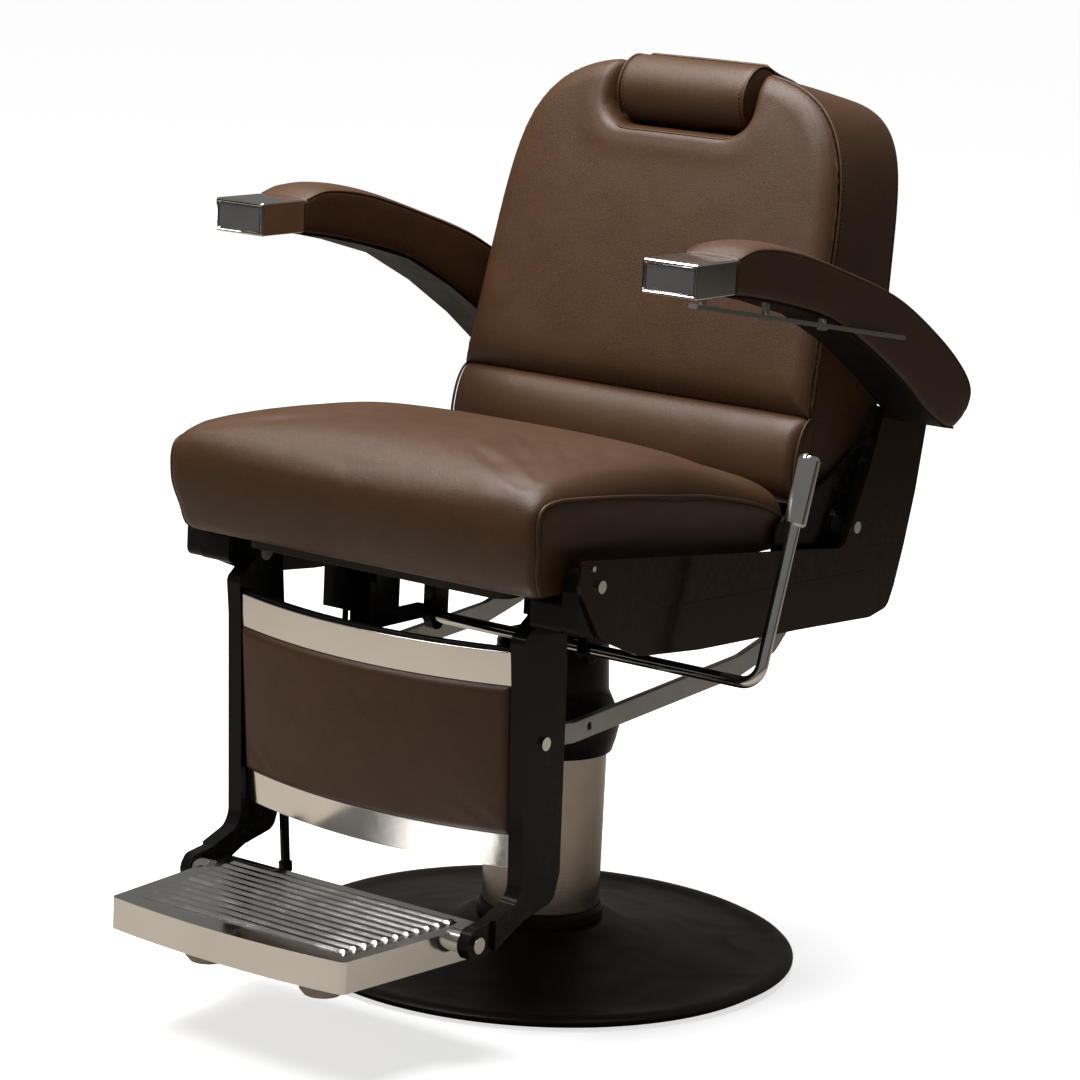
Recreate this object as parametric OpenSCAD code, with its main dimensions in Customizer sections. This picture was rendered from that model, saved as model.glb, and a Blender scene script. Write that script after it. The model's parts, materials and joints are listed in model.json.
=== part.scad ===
// Hydraulic barber chair: a disc base and pump column, a swivelling seat frame with arched arms,
// a reclining back with a lumbar roll and headrest, and a leg rest with a fold-up footplate that
// two link bars raise as the back goes down.
// The chair faces -Y, X runs across it and Z is up. The origin is on the floor under the column.

/* [Base and column] */
// Diameter of the round base
base_d = 600; // [540:10:660]
// Height of the base at its rim
base_rim_h = 16; // [14:1:22]
// Height of the dished base where the column stands
base_hub_z = 46; // [40:1:56]
// Outer diameter of the chrome column jacket
jacket_d = 138; // [130:1:142]
// Height of the jacket's top above the floor
jacket_top_z = 266; // [250:1:268]
// Diameter of the hydraulic ram
ram_d = 62; // [56:1:64]
// Travel of the ram
lift_travel = 165; // [120:5:170]

/* [Seat] */
// Half width of the seat cushion
seat_half_w = 250; // [240:1:250]
// Y of the cushion's front at its fullest
seat_front_y = -386; // [-400:1:-380]
// Y of the cushion's rear
seat_rear_y = 97; // [80:1:98]
// Height of the cushion's underside
seat_bottom_z = 513; // [512:1:520]
// Height of the side seam at the front
seat_seam_z = 616; // [600:1:630]
// Fall of the side seam from front to rear
seat_seam_fall = 68; // [50:1:80]
// Rise of the crown over the side seams
seat_crown = 41; // [30:1:55]

/* [Side frames and arms] */
// Thickness of a side panel
panel_t = 4; // [3:0.5:5]
// Width of a side casting
casting_w = 21; // [18:0.5:24]
// Width of an arm
arm_w = 71; // [64:1:76]
// Length of the chrome cap on each arm's front
cap_l = 75; // [60:1:80]
// Thickness of the metal plate under an arm pad
arm_plate_t = 3; // [2:0.5:4]

/* [Back] */
// Lean of the back's front face, in degrees
back_lean = 13.9; // [10:0.1:16]
// Half width of the back at its bottom
back_half_w = 247; // [235:1:248]
// Half width of the back at its top
back_top_half_w = 226; // [215:1:235]
// Height of the back's front face above the lumbar seam
back_h = 391; // [370:1:395]
// Thickness of the back at the lumbar seam
back_t = 148; // [135:1:152]
// Thickness of the back at its top
back_top_t = 112; // [105:1:120]
// Diameter of the headrest roll
headrest_d = 82; // [76:1:88]
// Length of the headrest roll
headrest_l = 180; // [165:1:200]
// Travel of the headrest
headrest_travel = 100; // [60:5:110]

/* [Leg rest and footplate] */
// X of the uprights' inner faces
upright_x = 190; // [186:1:194]
// Thickness of an upright
upright_t = 19; // [16:1:20]
// Lean of the calf panel, in degrees
calf_lean = 5.3; // [3:0.1:7]
// Height of the calf panel's board
calf_h = 246; // [230:1:250]
// How far the calf panel bows forward in the middle
calf_bow = 28; // [20:1:32]
// Height of each chrome strip
strip_h = 38; // [30:1:44]
// Half width of the footplate at its front corners
plate_front_half_w = 163; // [145:1:168]
// Half width of the footplate at its rear
plate_rear_half_w = 180; // [170:1:181]
// Height of the footplate's skirt
plate_h = 35; // [28:1:38]
// Number of ribs across the footplate
plate_ribs = 11; // [7:1:13]

/* [Lever] */
// Diameter of the lever's rod
lever_d = 14; // [12:0.5:16]
// Diameter of the grip sleeve
grip_d = 25; // [20:1:28]

/* [Hidden] */
$fn = 72;

// clearances
running = 0.06;      // radial, a shaft in its bore
link_gap = 2;        // side gap of a link bar
side_gap = 2;        // seat cushion to side casting
back_side_gap = 5;   // back to side casting
ear_gap = 2;         // leg rest to the casting's hinge block
lever_gap = 8;       // lever to the arm's outer face

// places across the chair, from the upholstery out
casting_x = max(seat_half_w + side_gap, back_half_w + back_side_gap);
panel_x = casting_x + casting_w + panel_t;
arm_in_x = casting_x + 10;
arm_out_x = arm_in_x + arm_w;
lever_x = arm_out_x + lever_gap;

// pivots, as [Y, Z]
leg_pivot = [-290, 486];
link_front = [-293, 342];
back_pivot = [183, 528];
crank_pin = [233, 433];
lever_pivot = [-86, 396];
foot_pivot = [-389, 138];

// base and column
jacket_r = jacket_d / 2;
jacket_wall = 3;
cylinder_r = 45;
cylinder_bore_r = 36;
cylinder_floor_z = 30;
ram_r = ram_d / 2;
ram_bottom_z = 60;
ram_top_z = 360;
spigot_r = 20;
washer_t = 4;
piston_h = 20;
flange_r = jacket_r + 5;
ring_h = 9;
flange_h = 16;
head_r = 82;
head_top_z = 380;
neck_r = 26;
hub_plate_z = 440;
frame_top_z = 500;

// Points of an outline with rounded corners: each entry of pts is [x, y, radius].
function unit(v) = v / norm(v);
function corner(a, b, c, r, n) =
    let (u = unit([a.x - b.x, a.y - b.y]), v = unit([c.x - b.x, c.y - b.y]),
        half = acos(max(-1, min(1, u * v))) / 2,
        reach = min(r / tan(half), 0.49 * min(norm([a.x - b.x, a.y - b.y]), norm([c.x - b.x, c.y - b.y]))),
        rr = reach * tan(half),
        centre = [b.x, b.y] + unit(u + v) * rr / sin(half),
        p = [b.x, b.y] + u * reach, q = [b.x, b.y] + v * reach,
        a0 = atan2(p.y - centre.y, p.x - centre.x),
        da = atan2(q.y - centre.y, q.x - centre.x) - a0,
        turn = da > 180 ? da - 360 : da < -180 ? da + 360 : da)
    [for (i = [0:n]) centre + rr * [cos(a0 + turn * i / n), sin(a0 + turn * i / n)]];
function rounded(pts, n = 6) = let (m = len(pts)) [for (i = [0:m - 1])
    each pts[i][2] > 0 ? corner(pts[(i + m - 1) % m], pts[i], pts[(i + 1) % m], pts[i][2], n)
        : [[pts[i].x, pts[i].y]]];

// Extrudes an outline drawn as (Y, Z) along X, from x0 to x1.
module along_x(x0, x1) translate([min(x0, x1), 0, 0]) rotate([90, 0, 90]) linear_extrude(abs(x1 - x0)) children();
// A round bar along X about the (Y, Z) point at.
module x_bar(at, r, x0, x1) along_x(x0, x1) translate(at) circle(r);
module ring(r_out, r_in, h) difference() {
    cylinder(r = r_out, h = h);
    translate([0, 0, -1]) cylinder(r = r_in, h = h + 2);
}
module both_sides() {
    children();
    mirror([1, 0, 0]) children();
}

// A closed cushion form in its own frame: X and Y span it, Z is its thickness.
// Each level is [scale, share of the way from underside to top], from the underside's middle out
// and over to the top's middle. The sides draw in between the corners by the share pull.
function signed_pow(v, e) = sign(v) * pow(abs(v), e);
module pad(a, b, levels, under, over, pull = 0.012, square = 5, n = 44) {
    ring_pts = [for (l = levels) each [for (i = [0:n - 1])
        let (t = 360 * (i + 0.5) / n, cx = signed_pow(cos(t), 2 / square), cy = signed_pow(sin(t), 2 / square),
            x = a * l[0] * cx * (1 - pull * (1 - cy * cy)), y = b * l[0] * cy * (1 - pull * (1 - cx * cx)))
        [x, y, under(x, y) + l[1] * (over(x, y) - under(x, y))]]];
    k = len(levels);
    points = concat(ring_pts, [[0, 0, under(0, 0)], [0, 0, over(0, 0)]]);
    faces = concat(
        [for (j = [0:k - 2], i = [0:n - 1]) let (p = j * n + i, q = j * n + (i + 1) % n) [p, p + n, q]],
        [for (j = [0:k - 2], i = [0:n - 1]) let (p = j * n + i, q = j * n + (i + 1) % n) [q, p + n, q + n]],
        [for (i = [0:n - 1]) [k * n, i, (i + 1) % n]],
        [for (i = [0:n - 1]) [k * n + 1, (k - 1) * n + (i + 1) % n, (k - 1) * n + i]]);
    polyhedron(points, faces);
}

// ---- base ----
module base_disc() {
    r = base_d / 2;
    wall = 8;
    color([0.06, 0.055, 0.05]) difference() {
        rotate_extrude() polygon([[cylinder_r, 12], [cylinder_r, base_hub_z], [flange_r + 1, base_hub_z],
            [flange_r + 12, base_hub_z - 1],
            [flange_r + 34, base_hub_z - 11], [r * 0.55, base_hub_z - 21], [r * 0.8, base_rim_h - 1],
            [r - 26, base_rim_h - 3], [r - 20, base_rim_h], [r - 8, base_rim_h], [r - 2, base_rim_h - 3],
            [r, base_rim_h - 5], [r, ring_h], [r * 0.8, ring_h], [r * 0.55, base_hub_z - 21 - wall],
            [flange_r + 30, base_hub_z - 14 - wall], [flange_r, 12]]);
        for (i = [0:5]) rotate(60 * i + 30) translate([flange_r - 14, 0, 20]) cylinder(r = 4, h = 40);
    }
}
module base_ring() color([0.03, 0.03, 0.03]) ring(base_d / 2 - 14, base_d / 2 - 36, ring_h);
module column_flange() color([0.10, 0.09, 0.08]) translate([0, 0, base_hub_z]) difference() {
    rotate_extrude() polygon([[cylinder_r + running, 0], [flange_r, 0], [flange_r, flange_h - 4],
        [flange_r - 3, flange_h], [jacket_r + running, flange_h], [jacket_r + running, 6], [cylinder_r + running, 6]]);
    for (i = [0:5]) rotate(60 * i + 30) translate([flange_r - 14, 0, -1]) cylinder(r = 4, h = 12);
}
module flange_screws() color([0.5, 0.5, 0.5]) for (i = [0:5]) rotate(60 * i + 30)
    translate([flange_r - 14, 0, 0]) {
        translate([0, 0, 24]) cylinder(r = 3.9, h = base_hub_z + 6 - 24);
        translate([0, 0, base_hub_z + 6]) cylinder(r = 5, h = 4);
    }
module column_jacket() color([0.75, 0.72, 0.68]) translate([0, 0, base_hub_z + 6])
    ring(jacket_r, jacket_r - jacket_wall, jacket_top_z - base_hub_z - 6);
module jacket_cap() color([0.75, 0.72, 0.68]) translate([0, 0, jacket_top_z - 10])
    ring(jacket_r - jacket_wall, cylinder_r, 10);
module pump_cylinder() color([0.4, 0.42, 0.44]) translate([0, 0, 12]) ring(cylinder_r, cylinder_bore_r, jacket_top_z - 12);
module cylinder_foot() color([0.3, 0.3, 0.3]) translate([0, 0, 12]) cylinder(r = cylinder_bore_r, h = cylinder_floor_z - 12);
module cylinder_gland() color([0.7, 0.55, 0.3]) translate([0, 0, jacket_top_z - 32])
    ring(cylinder_bore_r, ram_r + running, 32);

// ---- ram ----
module ram() color([0.8, 0.8, 0.82]) {
    translate([0, 0, ram_bottom_z]) cylinder(r = ram_r, h = ram_top_z - ram_bottom_z);
    translate([0, 0, ram_top_z - 1]) cylinder(r = spigot_r, h = 21);
}
module piston() color([0.5, 0.5, 0.52]) translate([0, 0, ram_bottom_z - piston_h]) difference() {
    cylinder(r = cylinder_bore_r - running, h = piston_h);
    translate([0, 0, 7]) ring(cylinder_bore_r + 2, cylinder_bore_r - 4, 6);
}
module piston_seal() color([0.05, 0.05, 0.05]) translate([0, 0, ram_bottom_z - piston_h + 7])
    ring(cylinder_bore_r - 0.04, cylinder_bore_r - 4, 6);
module thrust_washer() color([0.7, 0.5, 0.25]) translate([0, 0, ram_top_z]) ring(ram_r - 0.5, spigot_r, washer_t);

// ---- seat ----
module swivel_head() color([0.05, 0.05, 0.05]) rotate_extrude() polygon([
    [ram_r + running, jacket_top_z + 10], [jacket_r + 2.5, jacket_top_z + 6], [jacket_r + 2.5, jacket_top_z - 18],
    [jacket_r + 6, jacket_top_z - 18], [head_r - 3, jacket_top_z - 4], [head_r, jacket_top_z + 10],
    [head_r - 2, jacket_top_z + 26], [68, jacket_top_z + 52], [65, head_top_z - 8], [59, head_top_z],
    [neck_r + 6, head_top_z], [neck_r, head_top_z + 8], [neck_r, hub_plate_z], [0, hub_plate_z],
    [0, head_top_z + 1], [spigot_r + running, head_top_z + 1], [spigot_r + running, ram_top_z + washer_t + 0.1],
    [ram_r + running, ram_top_z + washer_t + 0.1]]);
module seat_frame() color([0.05, 0.05, 0.05]) {
    rail_z = 452;
    translate([-150, -80, hub_plate_z]) cube([300, 160, rail_z - hub_plate_z]);
    both_sides() {
        translate([104, -200, rail_z]) cube([4, 330, frame_top_z - rail_z]);
        translate([104, -200, rail_z]) cube([40, 330, 4]);
        translate([104, -200, frame_top_z - 4]) cube([40, 330, 4]);
    }
    for (y = [-204, 62]) difference() {
        translate([-casting_x, y, 476]) cube([2 * casting_x, 28, frame_top_z - 476]);
        translate([-casting_x + 8, y + 4, 470]) cube([2 * casting_x - 16, 20, frame_top_z - 474]);
    }
}
module frame_bracket() color([0.05, 0.05, 0.05]) {
    // hanger box below the left rail, with a foot that reaches back to the lever's bracket
    translate([-178, -204, 414]) cube([68, 54, 38]);
    translate([-178, -204, 451]) cube([33, 54, 25]);
    translate([-138, -204, 396]) cube([28, 54, 19]);
    translate([-122, -151, 396]) cube([12, 50, 16]);
    translate([-151, -196, 398]) cylinder(r = 3.5, h = 17);
}
module lever_bracket(x0) color([0.05, 0.05, 0.05]) difference() {
    along_x(x0, x0 + 13) polygon(rounded([[-97, 452, 0], [-97, 392, 8], [-91, 380, 8], [-78, 380, 8],
        [-66, 396, 10], [-66, 440, 0], [-80, 440, 0], [-80, 452, 0]]));
    x_bar(lever_pivot, lever_d / 2 + running, x0 - 1, x0 + 14);
}
module lever_bracket_left() lever_bracket(-117);
module lever_bracket_right() lever_bracket(104);
module seat_pan() color([0.55, 0.42, 0.28]) translate([0, 0, frame_top_z]) linear_extrude(seat_bottom_z - frame_top_z)
    polygon(rounded([[-182, -340, 20], [182, -340, 20], [182, 84, 20], [-182, 84, 20]]));
module seat_cushion() {
    b = (seat_rear_y - seat_front_y) / 2;
    mid = (seat_rear_y + seat_front_y) / 2;
    along = function (y) (y + b) / (2 * b);
    seam = function (y) seat_seam_z - seat_seam_fall * pow(max(0, along(y)), 2.2);
    rise = function (x, y) (seat_crown + 14 * along(y)) * (1 - pow(min(1, abs(x) / seat_half_w), 4.5))
        * (1 - pow(max(0, 1 - 2 * along(y)), 8)) * (1 - 0.55 * pow(max(0, 2 * along(y) - 1), 14));
    color([0.26, 0.17, 0.11]) translate([0, mid, seat_bottom_z]) pad(seat_half_w, b,
        [[0.5, 0], [0.92, 0], [0.955, 0.03], [0.985, 0.25], [1, 0.55], [0.998, 0.8], [0.985, 0.95], [0.965, 1],
            [0.91, 1], [0.83, 1], [0.72, 1], [0.58, 1], [0.4, 1], [0.2, 1]],
        function (x, y) 0, function (x, y) seam(y) + rise(x, y) - seat_bottom_z, square = 7, n = 52);
}

// ---- side frames ----
PANEL = [[-333, 557, 8], [-337, 528, 14], [-296, 468, 40], [-220, 438, 60], [-108, 428, 100], [91, 420, 0],
    [241, 412, 24], [279, 419, 18], [291, 443, 20], [307, 489, 40], [325, 552, 60], [344, 648, 0], [350, 700, 0],
    [262, 700, 0], [219, 588, 40], [175, 503, 14]];
CASTING = [[-326, 545, 8], [-332, 522, 6], [-332, 476, 10], [-290, 468, 10], [-218, 444, 60], [-107, 434, 100],
    [91, 426, 0], [239, 418, 20], [273, 425, 16], [284, 445, 18], [300, 491, 40], [318, 553, 60], [336, 646, 0],
    [342, 700, 0], [268, 700, 0], [226, 592, 40], [182, 496, 14]];
// Web that closes the corner between seat and pillar, round the back's pivot
WEB = [[60, 490, 0], [60, 538, 16], [112, 562, 30], [186, 590, 30], [222, 612, 0], [240, 612, 0], [240, 490, 0]];
web_t = 5;
boss_w = 8;
// Arm outline stations, front to rear: [top Y, top Z, bottom Y, bottom Z]
ARM = [[-160, 866, -160, 828], [-118, 875, -118, 822], [-41, 865, -52, 809], [63, 836, 33, 787],
    [172, 799, 116, 748], [265, 748, 194, 702], [324, 705, 247, 664], [344, 676, 290, 641], [336, 650, 313, 637]];
module arm_outline(drop = 0) polygon(concat([for (s = ARM) [s[0], s[1]]],
    [for (i = [len(ARM) - 1:-1:0]) [ARM[i][2], ARM[i][3] - drop]]));
module under_arm() difference() {
    children();
    along_x(arm_in_x - 30, panel_x + 10) arm_outline(arm_plate_t);
    along_x(arm_in_x - 30, panel_x + 10) polygon([for (s = ARM) [s[0], s[1]], [400, 636], [400, 900]]);
}
module side_casting() color([0.05, 0.05, 0.05]) difference() {
    union() {
        under_arm() along_x(casting_x, panel_x - panel_t) polygon(rounded(CASTING));
        // hinge block of the leg rest
        along_x(upright_x + upright_t + ear_gap, casting_x) polygon(rounded([[-332, 510, 6], [-332, 476, 8],
            [-304, 468, 14], [-262, 466, 14], [-254, 510, 8]]));
        along_x(casting_x, casting_x + web_t) polygon(rounded(WEB));
        x_bar(back_pivot, 21, casting_x, casting_x + boss_w);
    }
    x_bar(leg_pivot, 10 + running, upright_x + upright_t, casting_x + 12);
    x_bar(back_pivot, 11 + running, casting_x - 1, casting_x + boss_w);
}
// Grooves pressed into the panel below the pillar, as [Y, Z] ends
GROOVES = [[[-190, 486], [222, 470]], [[222, 500], [300, 492]]];
module side_panel() color([0.17, 0.09, 0.05]) difference() {
    union() {
        under_arm() along_x(panel_x - panel_t, panel_x) polygon(rounded(PANEL));
        // rolled rear edge
        under_arm() along_x(casting_x + 6, panel_x) difference() {
            polygon(rounded(PANEL));
            polygon([[-400, 300], [273, 300], [273, 416], [287, 446], [302, 489], [320, 552], [339, 650],
                [346, 710], [-400, 710]]);
        }
    }
    for (g = GROOVES) let (run = g[1] - g[0])
        translate([panel_x - 0.6, g[0].x, g[0].y]) rotate([atan2(run.y, run.x), 0, 0]) cube([2, norm(run), 1.2]);
}
module side_casting_right() side_casting();
module side_casting_left() mirror([1, 0, 0]) side_casting();
module side_panel_right() side_panel();
module side_panel_left() mirror([1, 0, 0]) side_panel();
module panel_bolts() color([0.8, 0.8, 0.8]) both_sides() {
    for (at = [[-301, 526], [196, 525]]) x_bar(at, 7, panel_x, panel_x + 4);
    x_bar([-315, 547], 3, panel_x, panel_x + 2.5);
    x_bar([176, 541], 3, casting_x + boss_w, casting_x + boss_w + 3);
}

// ---- arms ----
module arm_plate() color([0.6, 0.6, 0.58]) along_x(arm_in_x + 3, arm_in_x + arm_w - 3) difference() {
    polygon(concat([for (s = ARM) [s[2], s[3]]], [for (i = [len(ARM) - 1:-1:0]) [ARM[i][2], ARM[i][3] - arm_plate_t]]));
    translate([316, 600]) square(60);
}
module arm_pad() {
    n = 20;
    // cross sections: a rounded rectangle with a gently crowned top, from plate to top
    section = function (s, i) let (t = 360 * (i + 0.5) / n, cx = signed_pow(cos(t), 0.42), cy = signed_pow(sin(t), 0.5),
        w = (cy + 1) / 2, crown = max(0, cy) * 4 * (1 - cx * cx))
        [arm_in_x + arm_w / 2 * (1 + cx), s[2] + (s[0] - s[2]) * w, s[3] + (s[1] - s[3]) * w + crown];
    k = len(ARM);
    points = concat([for (s = ARM) each [for (i = [0:n - 1]) section(s, i)]],
        [[arm_in_x + arm_w / 2, ARM[0][0], (ARM[0][1] + ARM[0][3]) / 2],
            [arm_in_x + arm_w / 2, (ARM[k - 1][0] + ARM[k - 1][2]) / 2, (ARM[k - 1][1] + ARM[k - 1][3]) / 2]]);
    color([0.24, 0.15, 0.10]) polyhedron(points, concat(
        [for (j = [0:k - 2], i = [0:n - 1]) let (p = j * n + i, q = j * n + (i + 1) % n) [p, p + n, q]],
        [for (j = [0:k - 2], i = [0:n - 1]) let (p = j * n + i, q = j * n + (i + 1) % n) [q, p + n, q + n]],
        [for (i = [0:n - 1]) [k * n, i, (i + 1) % n]],
        [for (i = [0:n - 1]) [k * n + 1, (k - 1) * n + (i + 1) % n, (k - 1) * n + i]]));
}
module arm_cap() color([0.82, 0.82, 0.82]) difference() {
    translate([arm_in_x, ARM[0][0] - cap_l, ARM[0][3]]) cube([arm_w, cap_l, ARM[0][1] - ARM[0][3]]);
    translate([arm_in_x + 5, ARM[0][0] - cap_l - 1, ARM[0][3] + 5]) cube([arm_w - 10, 5, ARM[0][1] - ARM[0][3] - 10]);
}
module cap_inserts() color([0.18, 0.18, 0.19]) both_sides()
    translate([arm_in_x + 5, ARM[0][0] - cap_l + 1.5, ARM[0][3] + 5]) cube([arm_w - 10, 2.5, ARM[0][1] - ARM[0][3] - 10]);
module arm_plate_right() arm_plate();
module arm_plate_left() mirror([1, 0, 0]) arm_plate();
module arm_pad_right() arm_pad();
module arm_pad_left() mirror([1, 0, 0]) arm_pad();
module arm_cap_right() arm_cap();
module arm_cap_left() mirror([1, 0, 0]) arm_cap();

// towel rail under the right arm
RAIL_FRONT = [arm_out_x - 11, -224, 821];
RAIL_REAR = [arm_out_x + 14, 158, 757];
RAIL_POSTS = [0.34, 0.64];
RAIL_POST_X = arm_out_x - 6;
rail_post_r = 4.5;
module towel_rail() {
    run = RAIL_REAR - RAIL_FRONT;
    long = norm(run);
    yaw = atan2(run.y, run.x);
    pitch = asin(run.z / long);
    at = function (t) RAIL_FRONT + run * t;
    color([0.82, 0.82, 0.82]) {
        translate(RAIL_FRONT) rotate([0, -pitch, yaw]) {
            translate([0, -6, -2.5]) cube([long - 6, 12, 5]);
            translate([long - 6, 0, -2.5]) cylinder(r = 6, h = 5);
        }
        // posts up to the arm plate, with round nuts under the rail
        difference() {
            for (t = RAIL_POSTS) translate([min(at(t).x, RAIL_POST_X), at(t).y, at(t).z]) {
                cylinder(r = rail_post_r, h = 24);
                translate([0, 0, -4.5]) cylinder(r = rail_post_r + 1.5, h = 4.5);
            }
            along_x(arm_in_x, panel_x + 90) arm_outline(arm_plate_t);
        }
        translate(at(0.04)) cylinder(r = rail_post_r, h = ARM[0][3] - at(0.04).z);
    }
}

// ---- lever ----
lever_lean = 17.4;
lever_bend = 22;
lever_grip_from = 178;
lever_grip_to = 258;
module lever_rod() {
    r = lever_d / 2;
    color([0.75, 0.75, 0.75]) translate([0, lever_pivot.x, lever_pivot.y]) rotate([-lever_lean, 0, 0]) {
        rotate([0, 90, 0]) translate([0, 0, -124]) cylinder(r = r, h = lever_x - lever_bend + 124);
        translate([lever_x - lever_bend, 0, lever_bend]) rotate([90, 0, 0]) rotate([0, 0, -90])
            rotate_extrude(angle = 90) translate([lever_bend, 0]) circle(r);
        translate([lever_x, 0, lever_bend]) cylinder(r = r, h = lever_grip_from - lever_bend);
        // neck inside the grip
        translate([lever_x, 0, lever_grip_from]) cylinder(r = r - 1, h = lever_grip_to - lever_grip_from - 8);
    }
}
module lever_grip() color([0.82, 0.82, 0.82]) translate([0, lever_pivot.x, lever_pivot.y]) rotate([-lever_lean, 0, 0])
    translate([lever_x, 0, lever_grip_from]) rotate_extrude() polygon([[lever_d / 2 - 1, 0], [grip_d / 2 - 3, 0],
        [grip_d / 2, 3], [grip_d / 2, lever_grip_to - lever_grip_from - 6], [grip_d / 2 - 2, lever_grip_to - lever_grip_from - 2],
        [grip_d / 2 - 5, lever_grip_to - lever_grip_from], [0, lever_grip_to - lever_grip_from],
        [0, lever_grip_to - lever_grip_from - 8], [lever_d / 2 - 1, lever_grip_to - lever_grip_from - 8]]);

// ---- back ----
// The back's own frame: X across, Z up its front face, Y into its thickness.
back_origin = [0, 131, 649];
back_bottom = -78;
lumbar_seat = 14;
module on_back() translate(back_origin) rotate([-back_lean, 0, 0]) children();
function back_w(z) = back_half_w + (back_top_half_w - back_half_w) * max(0, z) / back_h;
function back_depth(z) = back_t + (back_top_t - back_t) * z / back_h;
module back_shaft() color([0.6, 0.6, 0.62]) x_bar(back_pivot, 11, 1 - casting_x - boss_w, casting_x + boss_w - 1);
module back_frame() color([0.05, 0.05, 0.05]) {
    flange_y = 36;
    both_sides() {
        difference() {
            along_x(upright_x, upright_x + 8) union() {
                hull() {
                    translate(crank_pin) circle(17, $fn = 32);
                    translate(back_pivot) circle(22, $fn = 32);
                }
                polygon([[back_pivot.x - 22, back_pivot.y], [back_pivot.x + 22, back_pivot.y],
                    back_point(flange_y + 84, back_bottom - 3), back_point(flange_y, back_bottom - 3)]);
            }
            x_bar(back_pivot, 11, upright_x - 1, upright_x + 9);
            x_bar(crank_pin, 6, upright_x - 1, upright_x + 9);
        }
        on_back() frame_flange();
    }
}
module frame_flange() translate([upright_x - 20, 36, back_bottom - 5]) cube([48, 84, 13]);
function back_point(y, z) = [back_origin.y + y * cos(back_lean) + z * sin(back_lean),
    back_origin.z - y * sin(back_lean) + z * cos(back_lean)];
module crank_pins() color([0.7, 0.7, 0.7]) both_sides() {
    x_bar(crank_pin, 6, upright_x + 8, upright_x - link_gap - 9);
    x_bar(crank_pin, 15, upright_x - link_gap - 9, upright_x - link_gap - 13);
}
// The back's outline, a shape that widens to the bottom and is rounded at the top.
module back_shell() {
    half = (back_h - back_bottom) / 2;
    mid = (back_h + back_bottom) / 2;
    color([0.22, 0.14, 0.09]) on_back() difference() {
        back_form(half, mid, [[0.5, 0], [0.86, 0], [0.94, 0.03], [0.985, 0.12], [1, 0.3], [1, 0.7], [1, 0.93],
            [0.995, 0.98], [0.985, 1], [0.9, 1], [0.5, 1]], function (x, z) -back_depth(z), function (x, z) 0,
            square = [5.1, 3.9]);
        headrest_recess();
        // seat of the lumbar roll
        translate([-back_half_w - 10, -20, back_bottom - 10]) cube([2 * back_half_w + 20, 20 + lumbar_seat, 13 - back_bottom]);
        // seats of the frame's flanges
        both_sides() frame_flange();
        for (x = BAR_X) translate([x, bar_y, socket_z]) cylinder(r = socket_r, h = 200);
    }
}
// Square is how square its top corners are, at the rear and at the front.
module back_form(half, mid, levels, under, over, square, n = 56) {
    ring_pts = [for (l = levels) each [for (i = [0:n - 1])
        let (t = 360 * (i + 0.5) / n, sq = sin(t) > 0 ? square[0] + (square[1] - square[0]) * l[1] : 9, cx = signed_pow(cos(t), 2 / sq),
            cy = signed_pow(sin(t), 2 / sq), z = mid + half * l[0] * cy, x = back_w(z) * l[0] * cx)
        [x, -(under(x, z) + l[1] * (over(x, z) - under(x, z))), z]]];
    k = len(levels);
    points = concat(ring_pts, [[0, -under(0, mid), mid], [0, -over(0, mid), mid]]);
    polyhedron(points, concat(
        [for (j = [0:k - 2], i = [0:n - 1]) let (p = j * n + i, q = j * n + (i + 1) % n) [p, p + n, q]],
        [for (j = [0:k - 2], i = [0:n - 1]) let (p = j * n + i, q = j * n + (i + 1) % n) [q, p + n, q + n]],
        [for (i = [0:n - 1]) [k * n, i, (i + 1) % n]],
        [for (i = [0:n - 1]) [k * n + 1, (k - 1) * n + (i + 1) % n, (k - 1) * n + i]]));
}
headrest_at = [17.7, back_h - 31];
headrest_plate_y = 36;
BAR_X = [-45, 45];
bar_y = 46;
bar_r = 6;
socket_r = 9;
socket_z = headrest_at.y - 170;
socket_h = 128;
module headrest_recess() {
    r = headrest_d / 2 + 4;
    translate([-headrest_l / 2 - 7, -60, headrest_at.y]) cube([headrest_l + 14, 60 + headrest_plate_y + 22, 100]);
    translate([0, headrest_at.x, headrest_at.y]) rotate([0, 90, 0]) translate([0, 0, -headrest_l / 2 - 7])
        cylinder(r = r, h = headrest_l + 14);
    translate([-headrest_l / 2 - 7, -60, headrest_at.y - r * 0.75])
        cube([headrest_l + 14, 60 + headrest_at.x, r]);
}
module back_cushion() {
    half = (back_h - 2 - 6) / 2;
    mid = (back_h - 2 + 6) / 2;
    color([0.26, 0.17, 0.11]) on_back() difference() {
        back_form(half, mid, [[0.5, 0], [0.97, 0], [0.985, 0.3], [0.975, 0.65], [0.93, 0.86],
            [0.82, 0.97], [0.62, 1], [0.4, 1]], function (x, z) 0,
            function (x, z) 26 * (1 - pow(abs(x) / back_half_w, 4)) * (1 - pow(abs(z - 170) / 230, 4)) + 4,
            square = [3.9, 3.9], n = 48);
        headrest_recess();
    }
}
module lumbar_roll() {
    low = -94;
    high = 3;
    color([0.25, 0.16, 0.10]) on_back() translate([0, lumbar_seat, (high + low) / 2]) rotate([90, 0, 0])
        pad(back_half_w + 1, (high - low) / 2, [[0.5, 0], [0.93, 0], [0.98, 0.15], [1, 0.4], [0.99, 0.7],
            [0.94, 0.9], [0.84, 0.98], [0.6, 1], [0.3, 1]], function (x, y) 0,
            function (x, y) 37.5 * (1 - 0.35 * pow(abs(x) / back_half_w, 4)) - max(0, -y) * 0.3, square = 6, n = 44);
}
module headrest_sockets() color([0.3, 0.3, 0.3]) on_back() for (x = BAR_X) translate([x, bar_y, socket_z])
    ring(socket_r, bar_r + running, socket_h);

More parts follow.
